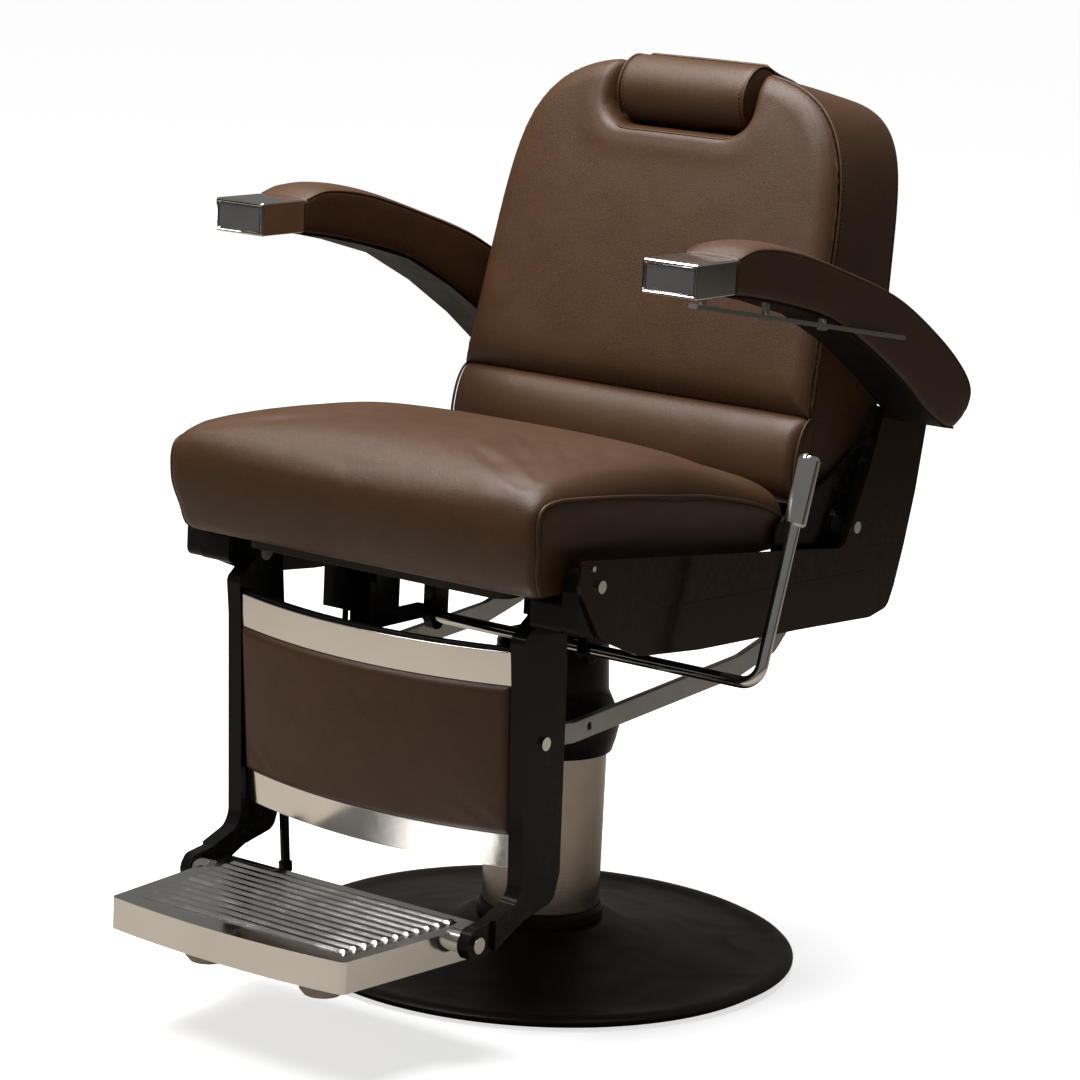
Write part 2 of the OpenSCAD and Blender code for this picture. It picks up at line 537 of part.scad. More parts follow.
// ---- headrest ----
module headrest_bars() color([0.8, 0.8, 0.82]) on_back() for (x = BAR_X)
    translate([x, bar_y, socket_z + 2]) cylinder(r = bar_r, h = 192);
module headrest_plate() color([0.3, 0.3, 0.3]) on_back() difference() {
    translate([-80, headrest_plate_y, headrest_at.y - 30]) cube([160, 6, 60]);
    for (x = BAR_X) translate([x, bar_y, 0]) cylinder(r = bar_r, h = 500);
}
module headrest_pad() color([0.24, 0.15, 0.10]) on_back() difference() {
    r = headrest_d / 2;
    l = headrest_l / 2;
    translate([0, headrest_at.x, headrest_at.y]) rotate([0, 90, 0]) rotate_extrude($fn = 40)
        polygon(rounded([[0, -l, 0], [r - 1, -l, 9], [r, 0, 0], [r - 1, l, 9], [0, l, 0]], 4));
    translate([-l - 1, headrest_plate_y, headrest_at.y - 50]) cube([2 * l + 2, 60, 100]);
}
module headrest_flap() color([0.22, 0.14, 0.09]) on_back() along_x(-headrest_l / 2 + 6, headrest_l / 2 - 6)
    translate([0, back_h]) polygon([[headrest_plate_y, 7], [headrest_plate_y, 3], [back_top_t - 20, 3],
        [back_top_t - 6, -2], [back_top_t + 4, -17], [back_top_t + 7, -49], [back_top_t + 11, -49],
        [back_top_t + 8, -15], [back_top_t - 3, 2], [back_top_t - 18, 7.5]]);

// ---- leg rest ----
UPRIGHT = [[-320, 185, 30], [-331, 419, 0], [-336, 460, 10], [-318, 475, 12], [-307, 482, 6], [-305, 498, 8],
    [-298, 508, 8], [-276, 509, 10], [-266, 498, 10], [-262, 470, 20], [-257, 420, 0], [-252, 190, 20], [-262, 160, 16],
    [-312, 150, 10], [-372, 122, 10], [-396, 120, 12], [-407, 138, 14], [-396, 154, 12], [-366, 158, 12],
    [-328, 172, 16]];
module leg_upright() color([0.05, 0.05, 0.05]) difference() {
    along_x(upright_x, upright_x + upright_t) polygon(rounded(UPRIGHT));
    x_bar(leg_pivot, 10, upright_x - 1, upright_x + upright_t + 1);
    x_bar(link_front, 6, upright_x - 1, upright_x + upright_t + 1);
    x_bar(foot_pivot, 6 + running, upright_x - 1, upright_x + upright_t + 1);
    // thinned shank of the foot arm's outer side
    along_x(upright_x + upright_t - 5, upright_x + upright_t + 1) polygon([[-420, 100], [-362, 100], [-362, 170], [-420, 170]]);
}
module leg_upright_right() leg_upright();
module leg_upright_left() mirror([1, 0, 0]) leg_upright();
module leg_pivot_pins() color([0.6, 0.6, 0.62]) both_sides() x_bar(leg_pivot, 10, upright_x, casting_x + 10);
module link_pins() color([0.75, 0.75, 0.75]) both_sides() {
    x_bar(link_front, 6, upright_x + upright_t, upright_x - link_gap - 9);
    x_bar(link_front, 9, upright_x - link_gap - 9, upright_x - link_gap - 13);
    x_bar(link_front, 7.5, upright_x + upright_t, upright_x + upright_t + 4);
}
calf_origin = [0, -321, 325];
calf_half_w = upright_x;
calf_r = (calf_half_w * calf_half_w + calf_bow * calf_bow) / (2 * calf_bow);
module on_calf() translate(calf_origin) rotate([calf_lean, 0, 0]) children();
// A bowed sheet: outer face at the bow plus out, t thick, h high from z0.
module bowed(out, t, h, z0, half_w) translate([0, calf_r - calf_bow, z0]) linear_extrude(h) intersection() {
    difference() {
        circle(calf_r + out, $fn = 180);
        circle(calf_r + out - t, $fn = 180);
    }
    translate([-half_w, -calf_r - 60]) square([2 * half_w, calf_r]);
}
module calf_board() color([0.05, 0.05, 0.05]) on_calf() bowed(-4, 8, calf_h, -calf_h / 2, calf_half_w);
module calf_strip_top() color([0.8, 0.78, 0.75]) on_calf()
    bowed(0, 4, strip_h, calf_h / 2 - strip_h - 3, calf_half_w - 1);
module calf_strip_bottom() color([0.8, 0.78, 0.75]) on_calf() bowed(0, 4, strip_h, -calf_h / 2, calf_half_w - 1);
module calf_pad() {
    low = -calf_h / 2 + strip_h;
    high = calf_h / 2 - strip_h - 3;
    arc = function (x) sqrt(calf_r * calf_r - x * x) - (calf_r - calf_bow);
    color([0.22, 0.14, 0.09]) on_calf() difference() {
        translate([0, 0, (low + high) / 2]) rotate([90, 0, 0])
            pad(calf_half_w - 1.5, (high - low) / 2 - 0.2, [[0.5, 0], [0.8, 0], [0.985, 0], [1, 0.4], [0.998, 0.65],
                [0.985, 0.85], [0.95, 0.95], [0.85, 1], [0.6, 1], [0.3, 1]], function (x, y) arc(x) - 8,
                function (x, y) arc(x) + 6, pull = 0.004, square = 12, n = 60);
        bowed(-4, 20, calf_h, -calf_h / 2, calf_half_w + 20);
    }
}
module stop_rod() color([0.04, 0.04, 0.04]) {
    translate([-165, -268, 116]) rotate([calf_lean, 0, 0]) {
        cylinder(r = 5.5, h = 156);
        cylinder(r = 8, h = 10);
    }
    for (z = [208, 256]) translate([-upright_x, -292, z]) cube([upright_x - 158, 34, 7]);
}

// ---- links ----
module link_bar() color([0.62, 0.63, 0.64]) difference() {
    along_x(upright_x - link_gap - 8, upright_x - link_gap) difference() {
        polygon(rounded([[link_front.x, link_front.y - 13, 0], [-209, 323, 30], [112, 346, 60], [182, 363, 30],
            [crank_pin.x + 16, crank_pin.y - 12, 14], [crank_pin.x + 12, crank_pin.y + 16, 14],
            [crank_pin.x - 16, crank_pin.y + 13, 14], [164, 385, 20], [108, 371, 60], [-209, 347, 30],
            [link_front.x - 4, link_front.y + 14, 10], [link_front.x - 14, link_front.y, 12]]));
        translate(link_front) circle(6 + running);
        translate(crank_pin) circle(11);
    }
    x_bar([-181, 338], 4, upright_x - link_gap - 9, upright_x - link_gap + 1);
}
module link_bar_right() link_bar();
module link_bar_left() mirror([1, 0, 0]) link_bar();

// ---- footplate ----
plate_top_z = 147;
plate_front_y = -559;
plate_rear_y = -348;
plate_bow = 12;
plate_wall = 3;
function plate_half(y) = plate_rear_half_w + (plate_front_half_w - plate_rear_half_w) * (plate_rear_y - y) / (plate_rear_y - plate_front_y);
function plate_outline(inset) = rounded(concat([[-plate_rear_half_w + inset, plate_rear_y - inset, 6],
    [-plate_front_half_w + inset, plate_front_y + inset, 8]],
    [for (i = [1:7]) let (u = i / 4 - 1) [u * (plate_front_half_w - inset) * 0.999,
        plate_front_y + inset - plate_bow * (1 - u * u), 0]],
    [[plate_front_half_w - inset, plate_front_y + inset, 8], [plate_rear_half_w - inset, plate_rear_y - inset, 6]]), 3);
module footplate() color([0.8, 0.8, 0.8]) {
    pitch = (plate_rear_y - plate_front_y - 36) / plate_ribs;
    difference() {
        union() {
            translate([0, 0, plate_top_z - plate_h]) linear_extrude(plate_h) polygon(plate_outline(0));
            both_sides() x_bar(foot_pivot, 13, plate_half(foot_pivot.x) - 6, upright_x - 0.5);
        }
        translate([0, 0, plate_top_z - plate_h - 1]) linear_extrude(plate_h - plate_wall + 1) polygon(plate_outline(plate_wall));
        both_sides() x_bar(foot_pivot, 6, 150, upright_x);
    }
    for (i = [0:plate_ribs - 1]) let (y = plate_front_y + 22 + pitch * (i + 0.5), w = plate_half(y) - 24)
        translate([-w, y - pitch * 0.28, plate_top_z - 0.5]) cube([2 * w, pitch * 0.56, 3.5]);
}
module footplate_pins() color([0.75, 0.75, 0.75]) both_sides() {
    x_bar(foot_pivot, 6, plate_half(foot_pivot.x) - 6, upright_x + upright_t - 5);
    x_bar(foot_pivot, 9, upright_x + upright_t - 5, upright_x + upright_t);
}
module footplate_feet() color([0.55, 0.5, 0.45]) both_sides() translate([81, -492, 80]) {
    translate([0, 0, 6]) cylinder(r = 25, h = 22);
    cylinder(r1 = 20, r2 = 25, h = 6);
    translate([0, 0, 27]) cylinder(r = 9, h = plate_top_z - plate_wall - 80 - 27);
}

base_disc();
base_ring();
column_flange();
flange_screws();
column_jacket();
jacket_cap();
pump_cylinder();
cylinder_foot();
cylinder_gland();
ram();
piston();
piston_seal();
thrust_washer();
swivel_head();
seat_frame();
frame_bracket();
lever_bracket_left();
lever_bracket_right();
seat_pan();
seat_cushion();
side_casting_left();
side_casting_right();
side_panel_left();
side_panel_right();
panel_bolts();
arm_plate_left();
arm_plate_right();
arm_pad_left();
arm_pad_right();
arm_cap_left();
arm_cap_right();
cap_inserts();
towel_rail();
lever_rod();
lever_grip();
back_shaft();
back_frame();
crank_pins();
back_shell();
back_cushion();
lumbar_roll();
headrest_sockets();
headrest_bars();
headrest_plate();
headrest_pad();
headrest_flap();
leg_upright_left();
leg_upright_right();
leg_pivot_pins();
link_pins();
calf_board();
calf_pad();
calf_strip_top();
calf_strip_bottom();
stop_rod();
link_bar_left();
link_bar_right();
footplate();
footplate_pins();
footplate_feet();
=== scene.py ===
"""Dresses the barber chair: upholstery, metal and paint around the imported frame."""
import json
import math

import bmesh
import bpy
import numpy as np
from bpy.props import FloatProperty, FloatVectorProperty, IntProperty, PointerProperty
from mathutils import Matrix, Vector

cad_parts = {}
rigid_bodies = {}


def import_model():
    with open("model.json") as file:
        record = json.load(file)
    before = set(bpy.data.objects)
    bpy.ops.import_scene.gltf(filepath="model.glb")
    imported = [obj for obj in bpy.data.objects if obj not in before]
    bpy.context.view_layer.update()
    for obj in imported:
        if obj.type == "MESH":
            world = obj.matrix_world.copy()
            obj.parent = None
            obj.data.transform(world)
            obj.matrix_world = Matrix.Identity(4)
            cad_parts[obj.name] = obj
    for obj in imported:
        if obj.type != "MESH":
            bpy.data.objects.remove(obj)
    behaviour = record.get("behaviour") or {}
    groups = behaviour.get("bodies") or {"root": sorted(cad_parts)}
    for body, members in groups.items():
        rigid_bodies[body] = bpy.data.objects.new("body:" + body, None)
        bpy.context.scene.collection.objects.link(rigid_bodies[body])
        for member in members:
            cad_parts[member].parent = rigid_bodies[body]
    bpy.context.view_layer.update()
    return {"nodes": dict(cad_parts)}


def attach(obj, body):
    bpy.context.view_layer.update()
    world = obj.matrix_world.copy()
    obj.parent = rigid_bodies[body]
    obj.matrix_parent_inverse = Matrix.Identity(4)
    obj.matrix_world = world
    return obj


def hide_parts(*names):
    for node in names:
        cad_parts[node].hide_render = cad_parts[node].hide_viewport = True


bl_info = {
    "name": "Barber chair dressing",
    "version": (1, 0, 0),
    "blender": (4, 5, 0),
    "location": "View3D > Sidebar > Barber chair",
    "description": "Upholstery, metal and paint for a hydraulic barber chair",
    "category": "Object",
}

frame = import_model()
MM = 0.001

# The back's own frame, in mm: its origin on the lumbar seam and its lean.
BACK_ORIGIN = (0.0, 131.0, 649.0)
BACK_LEAN = math.radians(13.9)
BACK_HALF_W = 247.0
BACK_TOP_HALF_W = 226.0
BACK_TOP = 391.0
BACK_BOTTOM = -78.0
BACK_CORNER = 3.75
BACK_REAR_CORNER = 5.4
BACK_DEPTH = 148.0
BACK_TOP_DEPTH = 116.0
# The recess that the headrest roll sits in: half width, lower edge and floor.
RECESS_HALF_W = 95.0
RECESS_LOW = 317.0
RECESS_FLOOR = 34.0
ROLL_AT = (17.7, 360.0)
ROLL_R = 41.0
ROLL_HALF = 90.0
PLATE_Y = 36.0
BACK_CENTRE = np.array([0.0, 150.0])
# The calf panel's own frame, in mm.
CALF_ORIGIN = (0.0, -321.0, 325.0)
CALF_LEAN = math.radians(5.3)
CALF_HALF_W = 190.0
CALF_BOW = 28.0
CALF_LOW = -85.0
CALF_HIGH = 82.0
# Arm outline stations from front to rear: top Y, top Z, bottom Y, bottom Z.
ARM_STATIONS = (
    (-160, 866, -160, 828), (-118, 875, -118, 822), (-41, 865, -52, 809), (63, 836, 33, 787),
    (172, 799, 116, 748), (265, 748, 194, 702), (324, 705, 247, 664), (344, 676, 290, 641),
    (336, 650, 313, 637),
)
ARM_INNER_X = 262.0
ARM_W = 71.0


class ChairSizes(bpy.types.PropertyGroup):
    """Sizes of the upholstery that a user may change"""

    cushion_swell: FloatProperty(
        name="Cushion swell", description="How far the filling may push a cushion's cover out",
        default=0.005, min=0.0, max=0.012, unit="LENGTH")
    welt_radius: FloatProperty(
        name="Welt radius", description="Radius of the welts sewn into the seams",
        default=0.0021, min=0.001, max=0.004, unit="LENGTH")
    stitch_length: FloatProperty(
        name="Stitch length", description="Length of one stitch",
        default=0.0034, min=0.002, max=0.008, unit="LENGTH")
    cloth_frames: IntProperty(
        name="Cloth frames", description="Frames that the cushions are inflated for",
        default=20, min=5, max=40)


def colour_property(name, description, default):
    return FloatVectorProperty(name=name, description=description, subtype="COLOR", size=3, default=default,
                               min=0, max=1)


class ChairColours(bpy.types.PropertyGroup):
    """Colours of the chair's finishes"""

    vinyl: colour_property(
        "Vinyl", "Colour of the upholstery", (0.074, 0.0325, 0.0118))
    # Painted shade: the darker colour the vinyl takes in its grain's creases. The thread also uses it as the dark
    # tone of its twist.
    vinyl_dark_and_crease_shade: colour_property(
        "Vinyl in the creases", "Darker colour of the upholstery's grain", (0.038, 0.0155, 0.0047))
    panel: colour_property(
        "Side panels", "Colour of the gloss side panels", (0.0175, 0.0060, 0.0018))
    enamel: colour_property(
        "Enamel", "Colour of the black frame", (0.0068, 0.0064, 0.0062))
    chrome: colour_property(
        "Chrome", "Colour of the chrome", (0.74, 0.73, 0.71))
    floor: colour_property(
        "Floor", "Colour of the plain floor", (0.86, 0.86, 0.86))
    floor_bounce: colour_property(
        "Floor's bounce", "Colour that the floor throws back on the chair", (0.36, 0.32, 0.27))


# ---- shader groups ----

def tree_io(group, inputs, outputs):
    """Adds named sockets to a shader group and returns its two end nodes."""
    kinds = {"f": "NodeSocketFloat", "c": "NodeSocketColor", "v": "NodeSocketVector"}
    for name, kind, default in inputs:
        socket = group.interface.new_socket(name=name, in_out="INPUT", socket_type=kinds[kind])
        if default is not None:
            socket.default_value = default
    for name, kind in outputs:
        group.interface.new_socket(name=name, in_out="OUTPUT", socket_type=kinds[kind])
    return group.nodes.new("NodeGroupInput"), group.nodes.new("NodeGroupOutput")


def node(tree, kind, links=None, **values):
    """A node with its settings, numbered or named inputs, and links."""
    made = tree.nodes.new(kind)
    for key, value in values.items():
        if hasattr(made, key):
            setattr(made, key, value)
        else:
            made.inputs[key.replace("_", " ")].default_value = value
    for key, source in (links or {}).items():
        tree.links.new(source, made.inputs[key])
    return made


def shader_group(name, inputs, outputs, build):
    group = bpy.data.node_groups.get(name)
    if group is None:
        group = bpy.data.node_groups.new(name, "ShaderNodeTree")
        start, end = tree_io(group, inputs, outputs)
        build(group, start.outputs, end.inputs)
    return group


def math_node(tree, operation, a, b=None, clamp=False):
    made = tree.nodes.new("ShaderNodeMath")
    made.operation = operation
    made.use_clamp = clamp
    for i, value in enumerate((a, b)):
        if value is None:
            continue
        if isinstance(value, (int, float)):
            made.inputs[i].default_value = value
        else:
            tree.links.new(value, made.inputs[i])
    return made.outputs[0]


def ramp(tree, source, low, high, to_low=0.0, to_high=1.0):
    """Maps a value from low..high to to_low..to_high, clamped."""
    made = node(tree, "ShaderNodeMapRange", {"Value": source})
    for key, value in (("From Min", low), ("From Max", high), ("To Min", to_low), ("To Max", to_high)):
        made.inputs[key].default_value = value
    return made.outputs["Result"]


def place_of(tree):
    """The surface's place in its own frame, in metres."""
    return node(tree, "ShaderNodeTexCoord").outputs["Object"]


def noise(tree, place, links=None, **values):
    return node(tree, "ShaderNodeTexNoise", {"Vector": place, **(links or {})}, **values).outputs["Fac"]


def mix_colours(tree, factor, first, second):
    """Mixes two colours, each given as a colour or as another node's output."""
    mix = node(tree, "ShaderNodeMix", data_type="RGBA")
    tree.links.new(factor, mix.inputs["Factor"])
    for name, colour in (("A", first), ("B", second)):
        if isinstance(colour, tuple):
            mix.inputs[name].default_value = colour
        else:
            tree.links.new(colour, mix.inputs[name])
    return mix.outputs["Result"]


def build_grain(tree, start, end):
    """Fine pebble grain: cells with soft creases, broken up by a slow noise. Its crease mask carries painted shade,
    so the vinyl is coloured darker in the creases.
    """
    place = place_of(tree)
    wander = node(tree, "ShaderNodeTexNoise", {"Vector": place}, Scale=70.0, Detail=2.0)
    bent = node(tree, "ShaderNodeVectorMath", operation="SCALE")
    tree.links.new(wander.outputs["Color"], bent.inputs[0])
    bent.inputs["Scale"].default_value = 0.004
    moved = node(tree, "ShaderNodeVectorMath", operation="ADD")
    tree.links.new(place, moved.inputs[0])
    tree.links.new(bent.outputs[0], moved.inputs[1])
    cells = node(tree, "ShaderNodeTexVoronoi", {"Vector": moved.outputs[0], "Scale": start["Scale"]},
                 feature="DISTANCE_TO_EDGE")
    crease = ramp(tree, cells.outputs["Distance"], 0.0, 0.28)
    fine = noise(tree, place, Scale=900.0, Detail=2.0)
    uneven = noise(tree, place, Scale=24.0, Detail=3.0)
    depth = ramp(tree, uneven, 0.3, 0.7, 0.55, 1.0)
    low = math_node(tree, "MULTIPLY", math_node(tree, "SUBTRACT", 1.0, crease), depth)
    height = math_node(tree, "SUBTRACT", math_node(tree, "MULTIPLY", fine, 0.35), low)
    tree.links.new(height, end["Height"])
    # The crease mask marks where the vinyl's colour is darkened as painted shade in the grain's creases.
    tree.links.new(low, end["Crease shade"])


def build_mottle(tree, start, end):
    """Slow cloudy change between two colours."""
    place = place_of(tree)
    clouds = noise(tree, place, {"Scale": start["Scale"]}, Detail=4.0, Roughness=0.6)
    mask = ramp(tree, clouds, 0.35, 0.7)
    share = math_node(tree, "MULTIPLY", mask, start["Amount"])
    tree.links.new(mix_colours(tree, share, start["Colour"], start["Second"]), end["Colour"])
    tree.links.new(mask, end["Mask"])


def build_smudge(tree, start, end):
    """Roughness of a handled surface: wiped streaks, spots and fine scratches."""
    place = place_of(tree)
    wiped = noise(tree, place, {"Scale": start["Scale"]}, Detail=5.0, Distortion=1.4)
    marks = ramp(tree, wiped, 0.42, 0.72)
    stretch = node(tree, "ShaderNodeMapping", {"Vector": place})
    stretch.inputs["Scale"].default_value = (900.0, 60.0, 60.0)
    scratch = noise(tree, stretch.outputs[0], Scale=1.0, Detail=1.0)
    lines = ramp(tree, scratch, 0.62, 0.72)
    total = math_node(tree, "ADD", math_node(tree, "MULTIPLY", marks, start["Marks"]),
                      math_node(tree, "MULTIPLY", lines, start["Scratches"]))
    tree.links.new(math_node(tree, "ADD", total, start["Base"]), end["Roughness"])
    tree.links.new(marks, end["Mask"])


def build_brushed(tree, start, end):
    """Fine lines along one axis, with the stretch given for each axis."""
    place = place_of(tree)
    stretch = node(tree, "ShaderNodeMapping", {"Vector": place, "Scale": start["Stretch"]})
    lines = noise(tree, stretch.outputs[0], Scale=1.0, Detail=3.0, Roughness=0.7)
    tree.links.new(lines, end["Height"])
    tree.links.new(ramp(tree, lines, 0.3, 0.7), end["Mask"])


def build_wear(tree, start, end):
    """Bright bare edges where the surface is convex, broken up by noise."""
    place = place_of(tree)
    edge = node(tree, "ShaderNodeNewGeometry").outputs["Pointiness"]
    rubbed = ramp(tree, edge, 0.58, 0.70)
    chips = noise(tree, place, {"Scale": start["Scale"]}, Detail=5.0)
    broken = ramp(tree, chips, 0.5, 0.62)
    worn = math_node(tree, "MULTIPLY", math_node(tree, "MULTIPLY", rubbed, broken), start["Amount"], True)
    tree.links.new(worn, end["Mask"])


def groups():
    """The shader groups that the finishes share."""
    return {
        "grain": shader_group("Pebble grain", [("Scale", "f", 620.0)], [("Height", "f"), ("Crease shade", "f")],
                              build_grain),
        "mottle": shader_group(
            "Cloudy colour",
            [("Colour", "c", (1, 1, 1, 1)), ("Second", "c", (0, 0, 0, 1)),
             ("Scale", "f", 9.0), ("Amount", "f", 0.5)],
            [("Colour", "c"), ("Mask", "f")], build_mottle),
        "smudge": shader_group(
            "Handled surface",
            [("Base", "f", 0.1), ("Marks", "f", 0.1), ("Scratches", "f", 0.05), ("Scale", "f", 14.0)],
            [("Roughness", "f"), ("Mask", "f")], build_smudge),
        "brushed": shader_group("Brushed lines", [("Stretch", "v", (40.0, 40.0, 900.0))],
                                [("Height", "f"), ("Mask", "f")], build_brushed),
        "wear": shader_group("Edge wear", [("Amount", "f", 0.6), ("Scale", "f", 60.0)], [("Mask", "f")],
                             build_wear),
    }


def use(tree, group, **values):
    """Places a shader group with its values."""
    made = tree.nodes.new("ShaderNodeGroup")
    made.node_tree = group
    for key, value in values.items():
        made.inputs[key.replace("_", " ")].default_value = value
    return made.outputs


def handle(tree, shader, kit, base, marks, scratches, scale):
    """Gives a shader the roughness of a handled surface."""
    rough = use(tree, kit["smudge"], Base=base, Marks=marks, Scratches=scratches, Scale=scale)["Roughness"]
    tree.links.new(rough, shader.inputs["Roughness"])


def rgba(colour, gain=1.0):
    return (*[min(1.0, c * gain) for c in colour], 1.0)


def new_material(name, **sockets):
    """A material with a Principled shader and its plain numbers."""
    material = bpy.data.materials.new(name)
    material.use_nodes = True
    tree = material.node_tree
    shader = tree.nodes["Principled BSDF"]
    for key, value in sockets.items():
        shader.inputs[key.replace("_", " ")].default_value = value
    return material, tree, shader


def bump(tree, shader, *layers):
    """Stacks (height, strength, distance in metres) bumps into the shader's normal."""
    normal = None
    for height, strength, distance in layers:
        made = tree.nodes.new("ShaderNodeBump")
        made.inputs["Strength"].default_value = strength
        made.inputs["Distance"].default_value = distance
        tree.links.new(height, made.inputs["Height"])
        if normal:
            tree.links.new(normal, made.inputs["Normal"])
        normal = made.outputs[0]
    tree.links.new(normal, shader.inputs["Normal"])


def vinyl_material(name, kit, colour, crease_shade, rough=0.42, grain=620.0):
    material, tree, shader = new_material(name, Specular_IOR_Level=0.34)
    pebble = use(tree, kit["grain"], Scale=grain)
    cloud = use(tree, kit["mottle"], Colour=rgba(colour), Second=rgba(colour, 0.78), Scale=7.0, Amount=0.7)
    # Painted shade: the grain's creases are coloured towards the darker crease colour.
    mixed = mix_colours(tree, pebble["Crease shade"], cloud["Colour"], rgba(crease_shade))
    tree.links.new(mixed, shader.inputs["Base Color"])
    handle(tree, shader, kit, rough, 0.09, 0.02, 11.0)
    ease = noise(tree, place_of(tree), Scale=13.0, Detail=2.0)
    bump(tree, shader, (ease, 0.25, 0.004), (pebble["Height"], 0.30, 0.0004))
    return material


RUBBED_METAL = (0.10, 0.095, 0.09, 1.0)


def enamel_material(name, kit, colour, rough=0.2, coat=0.05, peel=0.06):
    """Gloss paint with orange peel, a little dust and rubbed edges."""
    material, tree, shader = new_material(name, Coat_Weight=coat, Coat_Roughness=0.08, Specular_IOR_Level=0.1)
    cloud = use(tree, kit["mottle"], Colour=rgba(colour), Second=rgba(colour, 1.5), Scale=9.0, Amount=0.2)
    worn = use(tree, kit["wear"], Amount=0.12, Scale=90.0)
    mixed = mix_colours(tree, worn["Mask"], cloud["Colour"], RUBBED_METAL)
    tree.links.new(mixed, shader.inputs["Base Color"])
    handle(tree, shader, kit, rough, 0.06, 0.015, 12.0)
    orange = noise(tree, place_of(tree), Scale=420.0, Detail=1.0)
    bump(tree, shader, (orange, peel, 0.0006))
    return material


def metal_material(name, kit, colour, base=0.08, marks=0.12, scratches=0.06, stretch=None, second=0.82):
    """Plated or bare metal with wiped marks, and brushed lines where stretch is given."""
    material, tree, shader = new_material(name, Metallic=1.0)
    cloud = use(tree, kit["mottle"], Colour=rgba(colour), Second=rgba(colour, second), Scale=12.0, Amount=0.6)
    tree.links.new(cloud["Colour"], shader.inputs["Base Color"])
    handle(tree, shader, kit, base, marks, scratches, 17.0)
    if stretch:
        lines = use(tree, kit["brushed"], Stretch=stretch)
        bump(tree, shader, (lines["Height"], 0.25, 0.0004))
    else:
        wavy = noise(tree, place_of(tree), Scale=35.0, Detail=1.0)
        bump(tree, shader, (wavy, 0.05, 0.001))
    return material


def rough_material(name, kit, colour, rough=0.6, scale=260.0, height=0.3, specular=0.5):
    """Cast, moulded or rubber surface with a fine even texture."""
    material, tree, shader = new_material(name, Specular_IOR_Level=specular)
    cloud = use(tree, kit["mottle"], Colour=rgba(colour), Second=rgba(colour, 1.7), Scale=8.0, Amount=0.45)
    tree.links.new(cloud["Colour"], shader.inputs["Base Color"])
    handle(tree, shader, kit, rough, 0.12, 0.06, 12.0)
    grit = noise(tree, place_of(tree), Scale=scale, Detail=4.0)
    bump(tree, shader, (grit, height, 0.0006))
    return material


def board_material(name, kit):
    material, tree, shader = new_material(name, Specular_IOR_Level=0.3)
    lines = use(tree, kit["brushed"], Stretch=(300.0, 14.0, 300.0))
    mixed = mix_colours(tree, lines["Mask"], (0.016, 0.012, 0.009, 1), (0.028, 0.022, 0.017, 1))
    tree.links.new(mixed, shader.inputs["Base Color"])
    shader.inputs["Roughness"].default_value = 0.62
    bump(tree, shader, (lines["Height"], 0.3, 0.0005))
    return material


def finishes(colours):
    """Every finish of the chair by name, made once."""
    if "Vinyl" in bpy.data.materials:
        return bpy.data.materials
    kit = groups()
    vinyl_material("Vinyl", kit, colours.vinyl, colours.vinyl_dark_and_crease_shade)
    vinyl_material("Vinyl welt", kit, [c * 0.9 for c in colours.vinyl], colours.vinyl_dark_and_crease_shade, 0.45, 900.0)
    _, tree, shader = new_material("Thread", Specular_IOR_Level=0.3, Roughness=0.7)
    twist = use(tree, kit["mottle"], Colour=rgba(colours.vinyl, 1.35), Second=rgba(colours.vinyl_dark_and_crease_shade),
                Scale=800.0, Amount=0.6)
    tree.links.new(twist["Colour"], shader.inputs["Base Color"])
    bump(tree, shader, (twist["Mask"], 0.3, 0.0002))
    enamel_material("Gloss black", kit, colours.enamel)
    enamel_material("Panel brown", kit, colours.panel, 0.16, 0.12, 0.05)
    rough_material("Base lacquer", kit, (0.0105, 0.0066, 0.0046), 0.36, 420.0, 0.16, 0.17)
    metal_material("Chrome", kit, colours.chrome, 0.07, 0.07, 0.015)
    metal_material("Strip chrome", kit, (0.78, 0.755, 0.72), 0.13, 0.07, 0.01, None, 0.93)
    metal_material("Column chrome", kit, (0.365, 0.325, 0.285), 0.16, 0.10, 0.04, (60.0, 60.0, 900.0))
    metal_material("Plate alloy", kit, (0.73, 0.715, 0.69), 0.11, 0.07, 0.015, None, 0.9)
    metal_material("Link steel", kit, (0.36, 0.365, 0.37), 0.30, 0.14, 0.10, (900.0, 30.0, 900.0))
    metal_material("Bare steel", kit, (0.50, 0.50, 0.50), 0.28, 0.14, 0.10)
    metal_material("Gland bronze", kit, (0.45, 0.30, 0.14), 0.25, 0.12, 0.08)
    rough_material("Insert grey", kit, (0.075, 0.075, 0.077), 0.42, 700.0, 0.25)
    rough_material("Satin black", kit, (0.0100, 0.0078, 0.0062), 0.5, 500.0, 0.2, 0.12)
    rough_material("Rubber black", kit, (0.012, 0.012, 0.012), 0.7, 500.0, 0.4)
    rough_material("Rubber grey", kit, (0.30, 0.27, 0.24), 0.6, 420.0, 0.3)
    board_material("Seat board", kit)
    return bpy.data.materials


# ---- mesh helpers; points are in mm in the chair's frame ----

def unit(vectors):
    return vectors / np.linalg.norm(vectors, axis=1)[:, None]


def round_trip(path):
    """Directions along a closed path."""
    return unit(np.roll(path, -1, 0) - np.roll(path, 1, 0))


def eased(count):
    """Stations from -1 to 1 that crowd towards both ends."""
    return np.sin(np.linspace(-math.pi / 2, math.pi / 2, count))


def lengths(path):
    """The length run along a path at each of its points."""
    return np.concatenate([[0], np.cumsum(np.linalg.norm(np.diff(path, axis=0), axis=1))])


def catmull(p0, p1, p2, p3, t):
    """The point at t on the smooth curve from p1 to p2."""
    return 0.5 * (2 * p1 + (p2 - p0) * t + (2 * p0 - 5 * p1 + 4 * p2 - p3) * t * t
                  + (3 * p1 - p0 - 3 * p2 + p3) * t ** 3)


